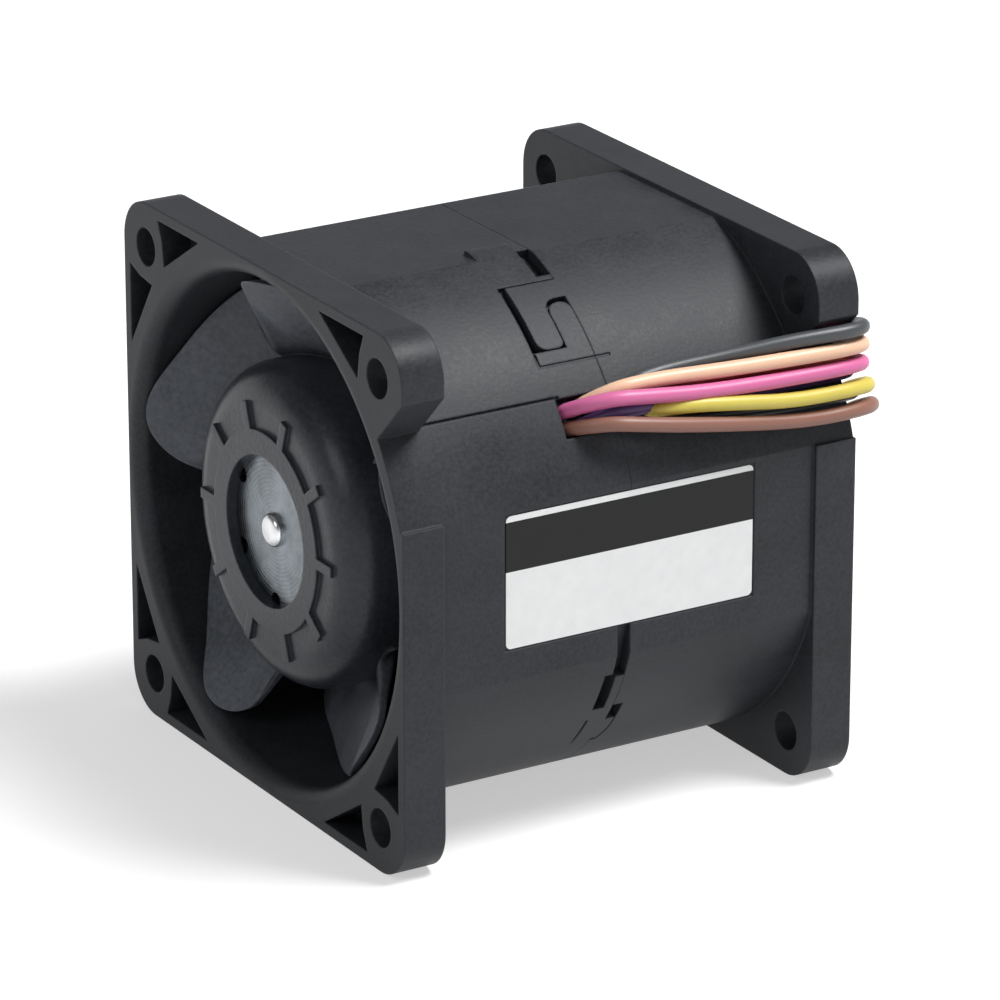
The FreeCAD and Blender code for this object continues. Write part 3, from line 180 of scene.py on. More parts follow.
# %% [markdown]
# ## Moulded plastic
# Casing and impellers are black polyester (PBT) with glass fibre. The mould is spark-eroded, which
# leaves a fine even grain that breaks up reflections, so black looks dark grey under a soft light.
# A noise as fine as the grain drives the bump, and a slow one shifts colour and sheen a little, as
# flow marks and handling do. Moulded edges are never sharp: a Bevel node rounds their shading, and
# the angle that it adds marks where a painted highlight makes the edge paler. Bevelling the mesh
# itself would cost many faces for the same look.

# %% Plastics
def moulded_plastic(name, dark, light, roughness, grain_mm, grain_height_mm, specular=0.5, edge_mm=0.3):
    """Moulded plastic: grain in the bump, flow marks in colour and sheen, soft edges with a painted
    highlight.
    """
    finish, tree, shader, place = start_finish(name, dark, roughness)
    shader.inputs["IOR"].default_value = 1.55
    shader.inputs["Specular IOR Level"].default_value = specular
    flow = add_node(tree, "ShaderNodeTexNoise", None, {
        "Vector": place, "Scale": 1 / (9 * MM), "Detail": 4.0, "Roughness": 0.62})
    grain = add_node(tree, "ShaderNodeTexNoise", None, {
        "Vector": place, "Scale": 1 / (grain_mm * MM), "Detail": 2.0, "Roughness": 0.55})
    blotch = add_node(tree, "ShaderNodeMix", {"data_type": "FLOAT"}, {
        0: 0.5, 2: flow.outputs["Fac"], 3: grain.outputs["Fac"]})
    tint = add_node(tree, "ShaderNodeValToRGB", None, {"Fac": blotch.outputs[0]})
    tint.color_ramp.elements[0].position = 0.34
    tint.color_ramp.elements[0].color = linear(dark)
    tint.color_ramp.elements[1].position = 0.66
    tint.color_ramp.elements[1].color = linear(light)
    rounded = add_node(tree, "ShaderNodeBevel", {"samples": 4}, {"Radius": edge_mm * MM})
    flat = add_node(tree, "ShaderNodeNewGeometry").outputs["True Normal"]
    alike = add_node(tree, "ShaderNodeVectorMath", {"operation": "DOT_PRODUCT"}, {
        0: rounded.outputs["Normal"], 1: flat})
    # painted highlight: edges are painted paler where the rounded shading turns away from the face
    edge_highlight_mask = add_node(tree, "ShaderNodeMapRange", None, {
        "Value": alike.outputs["Value"], "From Min": 0.98, "From Max": 0.8, "To Min": 0.0, "To Max": 0.3})
    edge_highlight_colour = add_node(tree, "ShaderNodeHueSaturation", None, {"Color": linear(light), "Value": 1.9})
    edge_highlighted = add_node(tree, "ShaderNodeMix", {"data_type": "RGBA"}, {
        0: edge_highlight_mask.outputs["Result"], 6: tint.outputs["Color"], 7: edge_highlight_colour.outputs["Color"]})
    tree.links.new(edge_highlighted.outputs[2], shader.inputs["Base Color"])
    sheen = add_node(tree, "ShaderNodeMapRange", None, {
        "Value": blotch.outputs[0], "From Min": 0.3, "From Max": 0.7,
        "To Min": roughness - 0.08, "To Max": roughness + 0.08})
    tree.links.new(sheen.outputs["Result"], shader.inputs["Roughness"])
    bump = add_node(tree, "ShaderNodeBump", None, {
        "Height": grain.outputs["Fac"], "Strength": 0.7, "Distance": grain_height_mm * MM,
        "Normal": rounded.outputs["Normal"]})
    tree.links.new(bump.outputs["Normal"], shader.inputs["Normal"])
    return finish


# real spark-eroded grain is about 0.1 mm; it is drawn four times coarser so that it shows
casing_pbt = moulded_plastic("black_pbt_spark_eroded", "#1f2124", "#33353a", 0.5, 0.42, 0.035, 0.22)
# painted light: the blade colours are lighter than the casing's, for the light that falls on the blades
blade_pbt = moulded_plastic("black_pbt_blades_painted_lighter", "#44474d", "#62666d", 0.56, 0.6, 0.05, 0.22)
# the chips on the boards are packed in epoxy from a smoother mould
chip_epoxy = moulded_plastic("black_moulded_epoxy", "#1b1c1e", "#26272a", 0.42, 0.2, 0.01)

# the mould is polished over the hub and matt over the blades; the blade colour is also painted lighter than
# the casing's black, as painted light on blades turned to the lamps, and the hub is darkened back to about
# the plastic's own black
HUB_RADIUS = 18.0 * MM
tree = blade_pbt.node_tree
shader = tree.nodes["Principled BSDF"]
where = add_node(tree, "ShaderNodeSeparateXYZ", None, {
    "Vector": add_node(tree, "ShaderNodeTexCoord").outputs["Object"]}).outputs
spot = add_node(tree, "ShaderNodeCombineXYZ", None, {"Y": where["Y"], "Z": where["Z"]})
reach = add_node(tree, "ShaderNodeVectorMath", {"operation": "DISTANCE"}, {
    0: spot.outputs["Vector"], 1: (0, 0, AXIS_HEIGHT)})
on_blade = add_node(tree, "ShaderNodeMapRange", None, {
    "Value": reach.outputs["Value"], "From Min": HUB_RADIUS - 0.1 * MM, "From Max": HUB_RADIUS + 1.2 * MM})
painted_lit_blade_colour = shader.inputs["Base Color"].links[0].from_socket
matt_sheen = shader.inputs["Roughness"].links[0].from_socket
blacker = add_node(tree, "ShaderNodeHueSaturation", None, {
    "Color": painted_lit_blade_colour, "Saturation": 1.35, "Value": 0.34})
hub_or_blade = add_node(tree, "ShaderNodeMix", {"data_type": "RGBA"}, {
    0: on_blade.outputs["Result"], 6: blacker.outputs["Color"], 7: painted_lit_blade_colour})
hub_or_blade_sheen = add_node(tree, "ShaderNodeMix", {"data_type": "FLOAT"}, {
    0: on_blade.outputs["Result"], 2: 0.3, 3: matt_sheen})
tree.links.new(hub_or_blade.outputs[2], shader.inputs["Base Color"])
tree.links.new(hub_or_blade_sheen.outputs[0], shader.inputs["Roughness"])

for stage in ("inlet", "outlet"):
    wear(stage + "_housing", casing_pbt)
    wear(stage + "_impeller", blade_pbt)
    wear(stage + "_board_components", chip_epoxy)
print("plastic on casing, impellers and board components")

# %% [markdown]
# ## Metals
# Metal inside the fan is turned, ground, pressed or stacked. Turned and ground faces carry rings
# round the shaft, so a ring pattern round the fan's axis roughens them unevenly, and a slow noise
# adds the faint stains of handling.

# %% Metals
def turned_metal(name, hex_colour, roughness, ring_mm, ring_depth_mm):
    """Turned or ground metal: rings round the shaft in the bump, faint stains in colour and sheen."""
    finish, tree, shader, place = start_finish(name, hex_colour, roughness, 1.0)
    centred = add_node(tree, "ShaderNodeMapping", None, {
        "Vector": place, "Location": (0, 0, -AXIS_HEIGHT)})
    # a wave repeats every 1/20 of a unit at scale 1, hence the 20
    rings = add_node(tree, "ShaderNodeTexWave", {
        "wave_type": "RINGS", "rings_direction": "X"}, {
        "Vector": centred.outputs["Vector"], "Scale": 1 / (20 * ring_mm * MM) * 2 * math.pi,
        "Distortion": 0.6, "Detail": 2.0, "Detail Scale": 2.0})
    stain = add_node(tree, "ShaderNodeTexNoise", None, {
        "Vector": place, "Scale": 1 / (4 * MM), "Detail": 4.0, "Roughness": 0.6})
    both = add_node(tree, "ShaderNodeMix", {"data_type": "FLOAT"}, {
        0: 0.5, 2: rings.outputs["Fac"], 3: stain.outputs["Fac"]})
    tone = add_node(tree, "ShaderNodeHueSaturation", None, {
        "Color": linear(hex_colour), "Value": add_node(tree, "ShaderNodeMapRange", None, {
            "Value": stain.outputs["Fac"], "From Min": 0.3, "From Max": 0.7,
            "To Min": 0.62, "To Max": 1.38}).outputs["Result"]})
    tree.links.new(tone.outputs["Color"], shader.inputs["Base Color"])
    rough = add_node(tree, "ShaderNodeMapRange", None, {
        "Value": both.outputs[0], "From Min": 0.2, "From Max": 0.8,
        "To Min": roughness - 0.07, "To Max": roughness + 0.09})
    tree.links.new(rough.outputs["Result"], shader.inputs["Roughness"])
    bump = add_node(tree, "ShaderNodeBump", None, {
        "Height": rings.outputs["Fac"], "Strength": 0.3, "Distance": ring_depth_mm * MM})
    tree.links.new(bump.outputs["Normal"], shader.inputs["Normal"])
    return finish


cup_steel = turned_metal("zinc_plated_steel_pressed", "#757b80", 0.32, 0.45, 0.01)
ground_steel = turned_metal("ground_bearing_steel", "#c4c6c8", 0.2, 0.12, 0.002)
spring_steel = turned_metal("spring_steel_wire", "#8d8f92", 0.32, 0.2, 0.004)
turned_brass = turned_metal("turned_brass", "#c9a24f", 0.28, 0.2, 0.006)
bonded_magnet = turned_metal("bonded_ferrite", "#3a3b3d", 0.6, 0.3, 0.004)
bonded_magnet.node_tree.nodes["Principled BSDF"].inputs["Metallic"].default_value = 0.0
for stage in ("inlet", "outlet"):
    wear(stage + "_rotor_cup", cup_steel)
    wear(stage + "_shaft", ground_steel)
    wear(stage + "_bearing_inner_rings", ground_steel)
    wear(stage + "_bearing_outer_rings", ground_steel)
    wear(stage + "_bearing_balls", ground_steel)
    wear(stage + "_bearing_cages", spring_steel)
    wear(stage + "_preload_spring", spring_steel)
    wear(stage + "_retaining_ring", spring_steel)
    wear(stage + "_bearing_sleeve", turned_brass)
    wear(stage + "_magnet_ring", bonded_magnet)
print("metal on cups, shafts and bearings")

# %% [markdown]
# ## Stator and board
# The stator core is a stack of thin steel sheets, so bands run across its edge. The insulator is
# pale nylon and the board is glass laminate under green solder resist, a thin glossy lacquer.

# %% Stator and board
SHEET_MM = 0.5
core_steel, tree, shader, place = start_finish("lacquered_steel_sheets", "#4a4c50", 0.45, 0.8)
sheets = add_node(tree, "ShaderNodeTexWave", {"wave_type": "BANDS", "bands_direction": "X"}, {
    "Vector": place, "Scale": 2 * math.pi / (20 * SHEET_MM * MM), "Distortion": 0.0})
shade = add_node(tree, "ShaderNodeValToRGB", None, {"Fac": sheets.outputs["Fac"]})
shade.color_ramp.elements[0].color = linear("#2c2d30")
shade.color_ramp.elements[1].color = linear("#5c5e62")
tree.links.new(shade.outputs["Color"], shader.inputs["Base Color"])
stack = add_node(tree, "ShaderNodeBump", None, {
    "Height": sheets.outputs["Fac"], "Strength": 0.6, "Distance": 0.04 * MM})
tree.links.new(stack.outputs["Normal"], shader.inputs["Normal"])

insulator_nylon = moulded_plastic("natural_nylon_moulded", "#cfc9b6", "#ded9c8", 0.42, 0.6, 0.01)
tie_nylon = moulded_plastic("white_nylon_moulded", "#d6d5cd", "#e4e3dc", 0.4, 0.6, 0.01)

board_resist, tree, shader, place = start_finish("green_solder_resist", "#1d5a34", 0.3)
weave = add_node(tree, "ShaderNodeTexNoise", None, {
    "Vector": place, "Scale": 1 / (0.8 * MM), "Detail": 2.0})
lacquer = add_node(tree, "ShaderNodeValToRGB", None, {"Fac": weave.outputs["Fac"]})
lacquer.color_ramp.elements[0].color = linear("#184d2c")
lacquer.color_ramp.elements[1].color = linear("#22683d")
tree.links.new(lacquer.outputs["Color"], shader.inputs["Base Color"])

for stage in ("inlet", "outlet"):
    wear(stage + "_stator_core", core_steel)
    wear(stage + "_insulator", insulator_nylon)
    wear(stage + "_circuit_board", board_resist)
print("stator and board dressed")

# %% [markdown]
# ## Windings
# Each stator tooth carries a coil of enamelled copper wire, wound in layers. One turn is a rounded
# rectangle round the tooth. The tree places the turns by their number, layer after layer, gives the
# line its thickness, and copies the finished coil round the shaft. A block with painted lines would
# look flat at its ends, where the wire bends.

# %% Winding tree
winding_tree, given = start_tree(
    "tooth_windings", ("Teeth", "Turns", "Layers"),
    ("Wire", "Pitch", "Tooth width", "Tooth length", "Inner radius", "Middle"))
number = add_node(winding_tree, "GeometryNodeInputIndex").outputs[0]
layer = sum_of(winding_tree, "MODULO", number, given["Layers"])
turn = sum_of(winding_tree, "FLOOR", sum_of(winding_tree, "DIVIDE", number, given["Layers"]))
across = sum_of(winding_tree, "MULTIPLY_ADD", layer, 2.0, 1.0)
growth = sum_of(winding_tree, "MULTIPLY", across, given["Wire"])
turn_middle = sum_of(winding_tree, "ADD", turn, 0.5)
outward = sum_of(winding_tree, "MULTIPLY_ADD", turn_middle, given["Pitch"], given["Inner radius"])
turns = add_node(winding_tree, "GeometryNodeMeshLine", None, {
    "Count": sum_of(winding_tree, "MULTIPLY", given["Turns"], given["Layers"]), "Offset": (0, 0, 0)})
spread = add_node(winding_tree, "GeometryNodeSetPosition", None, {
    "Geometry": turns.outputs["Mesh"],
    "Offset": add_node(winding_tree, "ShaderNodeCombineXYZ", None, {"Z": outward}).outputs[0]})
square = add_node(winding_tree, "GeometryNodeCurvePrimitiveQuadrilateral", None, {
    "Width": 1.0, "Height": 1.0})
size = add_node(winding_tree, "ShaderNodeCombineXYZ", None, {
    "X": sum_of(winding_tree, "ADD", given["Tooth length"], growth),
    "Y": sum_of(winding_tree, "ADD", given["Tooth width"], growth), "Z": 1.0})
loops = add_node(winding_tree, "GeometryNodeInstanceOnPoints", None, {
    "Points": spread.outputs["Geometry"], "Instance": square.outputs["Curve"], "Scale": size.outputs[0]})
lines = add_node(winding_tree, "GeometryNodeRealizeInstances", None, {
    "Geometry": loops.outputs["Instances"]})
bends = add_node(winding_tree, "GeometryNodeFilletCurve", {"mode": "POLY"}, {
    "Curve": lines.outputs["Geometry"], "Count": 3, "Radius": 0.9 * MM, "Limit Radius": True})
section = add_node(winding_tree, "GeometryNodeCurvePrimitiveCircle", None, {
    "Resolution": 6, "Radius": sum_of(winding_tree, "MULTIPLY", given["Wire"], 0.5)})
coil = add_node(winding_tree, "GeometryNodeCurveToMesh", None, {
    "Curve": bends.outputs["Curve"], "Profile Curve": section.outputs["Curve"]})
teeth = add_node(winding_tree, "GeometryNodeMeshLine", None, {"Count": given["Teeth"], "Offset": (0, 0, 0)})
tooth_share = sum_of(winding_tree, "DIVIDE", number, given["Teeth"])
angle = sum_of(winding_tree, "MULTIPLY", tooth_share, 2 * math.pi)
round_shaft = add_node(winding_tree, "GeometryNodeInstanceOnPoints", None, {
    "Points": teeth.outputs["Mesh"], "Instance": coil.outputs["Mesh"],
    "Rotation": add_node(winding_tree, "ShaderNodeCombineXYZ", None, {"X": angle}).outputs[0]})
placed = add_node(winding_tree, "GeometryNodeTransform", None, {
    "Geometry": round_shaft.outputs["Instances"],
    "Translation": add_node(winding_tree, "ShaderNodeCombineXYZ", None, {
        "X": given["Middle"], "Z": AXIS_HEIGHT}).outputs[0]})
end_tree(winding_tree, placed.outputs["Geometry"], given["Finish"], True)
print("winding tree has", len(winding_tree.nodes), "nodes")

# %% Windings
STATOR_MIDDLE = 14.5
enamelled_copper = turned_metal("enamelled_copper_wire", "#a9602e", 0.3, 0.4, 0.003)
lacquer_coat = enamelled_copper.node_tree.nodes["Principled BSDF"].inputs
lacquer_coat["Coat Weight"].default_value = 0.6
lacquer_coat["Coat Roughness"].default_value = 0.12
for stage, middle in (("inlet", -STATOR_MIDDLE), ("outlet", STATOR_MIDDLE)):
    windings = made_by_nodes(stage + "_windings", winding_tree, {
        "Teeth": 6, "Turns": 5, "Layers": 3, "Wire": 0.56 * MM, "Pitch": 0.6 * MM,
        "Tooth width": 4.2 * MM, "Tooth length": 9.0 * MM, "Inner radius": 8.8 * MM, "Middle": middle * MM,
    }, enamelled_copper)
    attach(windings, "frame")
    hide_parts(stage + "_coils")

# %% [markdown]
# ## Label
# A printed film lies in a shallow recess across both halves. It stays bare: a dark band on top with
# a white line above it, and an empty white field below. Height on the fan decides which ink shows.

# %% Label
BAND_LOW, BAND_HIGH = 32.6 * MM, 38.15 * MM
label_film, tree, shader, place = start_finish("printed_polyester_film", "#e9eaea", 0.33)
shader.inputs["Specular IOR Level"].default_value = 0.25
height = add_node(tree, "ShaderNodeSeparateXYZ", None, {"Vector": place}).outputs["Z"]
above = sum_of(tree, "GREATER_THAN", height, BAND_LOW)
below = sum_of(tree, "LESS_THAN", height, BAND_HIGH)
inked = sum_of(tree, "MULTIPLY", above, below)
fibre = add_node(tree, "ShaderNodeTexNoise", None, {
    "Vector": place, "Scale": 1 / (1.5 * MM), "Detail": 3.0})
paper = add_node(tree, "ShaderNodeValToRGB", None, {"Fac": fibre.outputs["Fac"]})
paper.color_ramp.elements[0].color = linear("#e2e3e4")
paper.color_ramp.elements[1].color = linear("#eff0f0")
ink = add_node(tree, "ShaderNodeMix", {"data_type": "RGBA"}, {
    0: inked, 6: paper.outputs["Color"], 7: linear("#101113")})
tree.links.new(ink.outputs[2], shader.inputs["Base Color"])
smear = add_node(tree, "ShaderNodeMapRange", None, {
    "Value": fibre.outputs["Fac"], "To Min": 0.26, "To Max": 0.42})
tree.links.new(smear.outputs["Result"], shader.inputs["Roughness"])
wear("label", label_film)
print("label is bare film")

# %% [markdown]
# ## Leads
# Eight thin leads leave a slot beside the joint, run along the casing and through gaps in the
# flange, and bend down behind it. They are stranded copper in soft vinyl, 1.65 mm over the
# insulation and about 300 mm long. Their spare length is wound into a flat coil behind the fan, one
# lead on another, where a tie holds it. A route is a list of points in millimetres, from the slot to
# the place where the coil starts.

# %% Lead routes
LEAD_DIAMETER = 1.65 * MM
LEVEL_STEP = 1.78 * MM
COIL_MIDDLE = (45.0, 31.0)
COIL_OUTER, COIL_PITCH = 15.6, 1.72
COIL_TURNS, POINTS_PER_TURN = 2, 16
END_ANGLE, END_RADIUS, END_TURN = 125.0, 10.2, -15.0

ROUTES = {
    "lead_brown": (
        (-5.7, -24.58, 45.0), (-3.9, -29.4, 47.0), (2.4, -30.6, 46.0), (10.0, -30.9, 44.7),
        (21.2, -30.9, 43.0), (29.1, -30.7, 43.0), (31.97, -27.6, 42.2), (32.58, -20.0, 38.4),
        (32.42, -10.0, 29.0), (32.08, 0.0, 16.0), (31.2, 10.0, 6.0), (29.84, 20.0, 1.95),
        (29.44, 31.0, 1.63),
    ),
    "lead_black": (
        (-2.1, -24.58, 45.0), (-0.1, -27.9, 46.3), (5.0, -28.6, 45.4), (12.2, -29.0, 44.9),
        (21.2, -29.1, 44.5), (28.25, -29.1, 44.4), (29.61, -26.2, 43.4), (29.98, -19.4, 39.8),
        (29.92, -10.0, 31.0), (29.74, 0.0, 18.4), (29.36, 10.0, 8.2), (29.36, 20.0, 3.75),
        (29.44, 31.0, 3.41),
    ),
    "lead_yellow": (
        (-0.3, -24.58, 45.0), (1.5, -27.9, 46.7), (6.6, -29.9, 47.2), (12.6, -30.7, 46.6),
        (19.4, -30.9, 45.6), (28.6, -30.7, 45.4), (31.18, -27.8, 44.6), (31.84, -20.4, 41.2),
        (31.74, -10.0, 32.6), (31.46, 0.0, 20.4), (30.76, 10.0, 10.2), (29.82, 20.0, 5.65),
        (29.44, 31.0, 5.19),
    ),
    "lead_purple": (
        (-3.9, -24.58, 45.0), (-1.9, -28.7, 47.7), (4.14, -28.0, 47.0), (11.3, -28.2, 46.7),
        (20.3, -28.2, 46.6), (27.8, -28.1, 46.5), (29.49, -26.0, 45.8), (29.92, -19.6, 42.6),
        (29.92, -10.0, 34.6), (29.74, 0.0, 22.8), (29.39, 10.0, 12.4), (29.41, 20.0, 7.45),
        (29.44, 31.0, 6.97),
    ),
    "lead_pink": (
        (-5.7, -23.55, 46.5), (-3.7, -28.9, 49.4), (3.28, -29.4, 48.7), (9.5, -29.9, 48.2),
        (18.5, -30.4, 48.0), (28.0, -30.5, 47.9), (30.31, -27.8, 47.3), (30.98, -20.6, 44.2),
        (30.98, -10.0, 36.2), (30.75, 0.0, 24.8), (30.23, 10.0, 14.4), (29.7, 20.0, 9.25),
        (29.44, 31.0, 8.75),
    ),
    "lead_red": (
        (-2.1, -23.55, 46.5), (-0.1, -27.1, 48.0), (5.0, -26.9, 48.25), (12.2, -27.2, 48.4),
        (20.3, -27.4, 48.4), (27.4, -27.6, 48.3), (29.36, -25.6, 47.6), (29.86, -19.4, 44.6),
        (29.92, -10.0, 37.4), (29.74, 0.0, 26.8), (29.43, 10.0, 16.4), (29.46, 20.0, 11.05),
        (29.44, 31.0, 10.53),
    ),
    "lead_orange": (
        (-3.9, -23.55, 46.5), (-1.9, -27.4, 49.6), (4.14, -27.7, 49.9), (11.3, -28.9, 49.9),
        (19.4, -30.0, 50.0), (28.0, -30.5, 50.0), (30.16, -28.0, 49.5), (30.9, -21.0, 46.8),
        (30.98, -10.6, 39.4), (30.75, 0.0, 28.8), (30.27, 10.0, 18.4), (29.75, 20.0, 12.85),
        (29.44, 31.0, 12.31),
    ),
    "lead_grey": (
        (-0.3, -23.55, 46.5), (1.47, -26.1, 49.4), (5.9, -25.75, 49.95), (13.1, -27.2, 50.6),
        (20.3, -29.3, 51.7), (27.6, -30.7, 52.0), (30.01, -28.4, 51.6), (30.75, -21.6, 49.2),
        (30.98, -11.2, 42.2), (30.75, -0.6, 31.6), (30.31, 9.8, 20.8), (29.8, 20.0, 14.65),
        (29.44, 31.0, 14.09),
    ),
}
VINYLS = {
    "lead_brown": "#8c5f50", "lead_black": "#1c1c1d", "lead_yellow": "#d3c24c", "lead_purple": "#5e3f78",
    "lead_pink": "#d5659d", "lead_red": "#a8201f", "lead_orange": "#edbf9f", "lead_grey": "#44474a",
}
print("routes for", len(ROUTES), "leads")

# %% [markdown]
# ## Vinyl round the leads
# Each lead is one smooth spline with a round section, which follows its route and then winds inward.
# A chain of tubes would show its joints at every bend. Vinyl from a die is even in colour, with a
# soft gloss and faint streaks.

# %% Lead splines
def coil_turns(level):
    """Points of a lead's flat coil, inward from the end of its route to the coil's hole."""
    points = []
    steps = COIL_TURNS * POINTS_PER_TURN
    for step in range(1, steps + 1):
        turned = step / POINTS_PER_TURN
        angle = math.radians(180 - 360 * turned)
        radius = COIL_OUTER - COIL_PITCH * turned
        points.append((radius * math.cos(angle), radius * math.sin(angle)))
    last = COIL_OUTER - COIL_PITCH * COIL_TURNS
    for share in (0.4, 0.75, 1.0):
        angle = math.radians(180 + (END_ANGLE - 180) * share)
        radius = last + (END_RADIUS - last) * share
        points.append((radius * math.cos(angle), radius * math.sin(angle)))
    return [(COIL_MIDDLE[0] + x, COIL_MIDDLE[1] + y, level) for x, y in points]


def soft_vinyl(name, hex_colour):
    """Extruded vinyl: even colour, a soft gloss and faint streaks from the die."""
    finish, tree, shader, place = start_finish(name, hex_colour, 0.4)
    streak = add_node(tree, "ShaderNodeTexNoise", None, {
        "Vector": place, "Scale": 1 / (2.5 * MM), "Detail": 3.0})
    dull = add_node(tree, "ShaderNodeHueSaturation", None, {
        "Color": linear(hex_colour), "Saturation": 0.92, "Value": 0.86})
    mixed = add_node(tree, "ShaderNodeMix", {"data_type": "RGBA"}, {
        0: streak.outputs["Fac"], 6: dull.outputs["Color"], 7: linear(hex_colour)})
    tree.links.new(mixed.outputs[2], shader.inputs["Base Color"])
    gloss = add_node(tree, "ShaderNodeMapRange", None, {
        "Value": streak.outputs["Fac"], "To Min": 0.34, "To Max": 0.5})
    tree.links.new(gloss.outputs["Result"], shader.inputs["Roughness"])
    return finish


for name, route in ROUTES.items():
    points = list(route) + coil_turns(route[-1][2])
    line = bpy.data.curves.new(name + "_vinyl", "CURVE")
    line.dimensions = "3D"
    line.bevel_depth = LEAD_DIAMETER / 2
    line.bevel_resolution = 4
    line.resolution_u = 6
    line.use_fill_caps = True
    spline = line.splines.new("NURBS")
    spline.points.add(len(points) - 1)
    for spot, point in zip(spline.points, points):
        spot.co = (point[0] * MM, point[1] * MM, point[2] * MM, 1)
    spline.order_u = 3
    spline.use_endpoint_u = True
    line.materials.append(soft_vinyl(name.replace("lead", "vinyl"), VINYLS[name]))
    lead = bpy.data.objects.new(name + "_vinyl", line)
    bpy.context.scene.collection.objects.link(lead)
    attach(lead, "frame")
    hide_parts(name)
    print(name, "length", round(spline.calc_length() / MM, 1), "mm")
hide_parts("lead_coil")

# %% [markdown]
# ## Stripped ends
# Each lead ends in a few millimetres of bare strands, twisted and tinned. One strand is a helix, and
# six of them round a straight one make the end; eight ends stand one above another. That is a rule,
# so Geometry Nodes make it: a spiral becomes a wire, copies turn round the middle, and a line of
# points carries the whole bundle.

# %% Stripped ends
STRAND_LENGTH, STRAND_MM, STRAND_COUNT = 5.0, 0.3, 6
ends_tree, given = start_tree(
    "twisted_ends", ("Ends", "Strands"), ("Strand radius", "Length", "Spacing", "Twists"))
orbit = sum_of(ends_tree, "MULTIPLY", given["Strand radius"], 2.0)
helix = add_node(ends_tree, "GeometryNodeCurveSpiral", None, {
    "Resolution": 24, "Rotations": given["Twists"], "Start Radius": orbit,
    "End Radius": orbit, "Height": given["Length"]})
ring = add_node(ends_tree, "GeometryNodeCurvePrimitiveCircle", None, {
    "Resolution": 8, "Radius": given["Strand radius"]})
strand = add_node(ends_tree, "GeometryNodeCurveToMesh", None, {
    "Curve": helix.outputs["Curve"], "Profile Curve": ring.outputs["Curve"], "Fill Caps": True})
around = add_node(ends_tree, "GeometryNodeMeshLine", None, {"Count": given["Strands"], "Offset": (0, 0, 0)})
number = add_node(ends_tree, "GeometryNodeInputIndex").outputs[0]
angle = sum_of(ends_tree, "MULTIPLY", sum_of(ends_tree, "DIVIDE", number, given["Strands"]), 2 * math.pi)
twist = add_node(ends_tree, "GeometryNodeInstanceOnPoints", None, {
    "Points": around.outputs["Mesh"], "Instance": strand.outputs["Mesh"],
    "Rotation": add_node(ends_tree, "ShaderNodeCombineXYZ", None, {"Z": angle}).outputs[0]})
middle_line = add_node(ends_tree, "GeometryNodeCurvePrimitiveLine", None, {
    "End": add_node(ends_tree, "ShaderNodeCombineXYZ", None, {"Z": given["Length"]}).outputs[0]})
middle = add_node(ends_tree, "GeometryNodeCurveToMesh", None, {
    "Curve": middle_line.outputs["Curve"], "Profile Curve": ring.outputs["Curve"], "Fill Caps": True})
bundle = add_node(ends_tree, "GeometryNodeJoinGeometry")
ends_tree.links.new(twist.outputs["Instances"], bundle.inputs["Geometry"])
ends_tree.links.new(middle.outputs["Mesh"], bundle.inputs["Geometry"])
lie_down = add_node(ends_tree, "GeometryNodeTransform", None, {
    "Geometry": bundle.outputs["Geometry"], "Rotation": (0, math.pi / 2, math.radians(END_TURN))})
first_end = (
    (COIL_MIDDLE[0] + END_RADIUS * math.cos(math.radians(END_ANGLE))) * MM,
    (COIL_MIDDLE[1] + END_RADIUS * math.sin(math.radians(END_ANGLE))) * MM,
    ROUTES["lead_brown"][-1][2] * MM)
stand = add_node(ends_tree, "GeometryNodeMeshLine", None, {
    "Count": given["Ends"], "Start Location": first_end,
    "Offset": add_node(ends_tree, "ShaderNodeCombineXYZ", None, {"Z": given["Spacing"]}).outputs[0]})
stood = add_node(ends_tree, "GeometryNodeInstanceOnPoints", None, {
    "Points": stand.outputs["Mesh"], "Instance": lie_down.outputs["Geometry"]})
end_tree(ends_tree, stood.outputs["Instances"], given["Finish"], True)

tinned_copper = turned_metal("tinned_copper_strand", "#bfc1c3", 0.3, 0.3, 0.004)
strands = made_by_nodes("lead_ends_strands", ends_tree, {
    "Ends": len(ROUTES), "Strands": STRAND_COUNT, "Strand radius": STRAND_MM / 2 * MM,
    "Length": STRAND_LENGTH * MM, "Spacing": LEVEL_STEP, "Twists": 0.8}, tinned_copper)
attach(strands, "frame")
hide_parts("lead_ends")

# %% [markdown]
# ## Tie
# A nylon tie holds the put-away leads. It is a flat band with fine teeth across its outside and a
# block that locks it. The band follows a rounded rectangle, and the teeth are one small bar copied
# along that line, so the tree needs only the line, the bar and the spacing.

# %% Tie
TIE_LOW, TIE_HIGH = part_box("lead_tie")
TOOTH_HEIGHT, BAND_THICK = 0.2 * MM, 0.6 * MM
BLOCK_SIZE, BLOCK_LIFT = (4.2 * MM, 2.6 * MM, 4.6 * MM), 1.1 * MM
tie_tree, given = start_tree(
    "ridged_tie", (), ("Long", "High", "Wide", "Thick", "Tooth height", "Tooth spacing"))
outline = add_node(tie_tree, "GeometryNodeCurvePrimitiveQuadrilateral", None, {
    "Width": given["Long"], "Height": given["High"]})
line = add_node(tie_tree, "GeometryNodeFilletCurve", {"mode": "POLY"}, {
    "Curve": outline.outputs["Curve"], "Count": 6, "Radius": 1.2 * MM, "Limit Radius": True})
strap_section = add_node(tie_tree, "GeometryNodeCurvePrimitiveQuadrilateral", None, {
    "Width": given["Thick"], "Height": given["Wide"]})
strap = add_node(tie_tree, "GeometryNodeCurveToMesh", None, {
    "Curve": line.outputs["Curve"], "Profile Curve": strap_section.outputs["Curve"]})
stations = add_node(tie_tree, "GeometryNodeCurveToPoints", {"mode": "LENGTH"}, {
    "Curve": line.outputs["Curve"], "Length": given["Tooth spacing"]})
both_teeth = sum_of(tie_tree, "MULTIPLY", given["Tooth height"], 2.0)
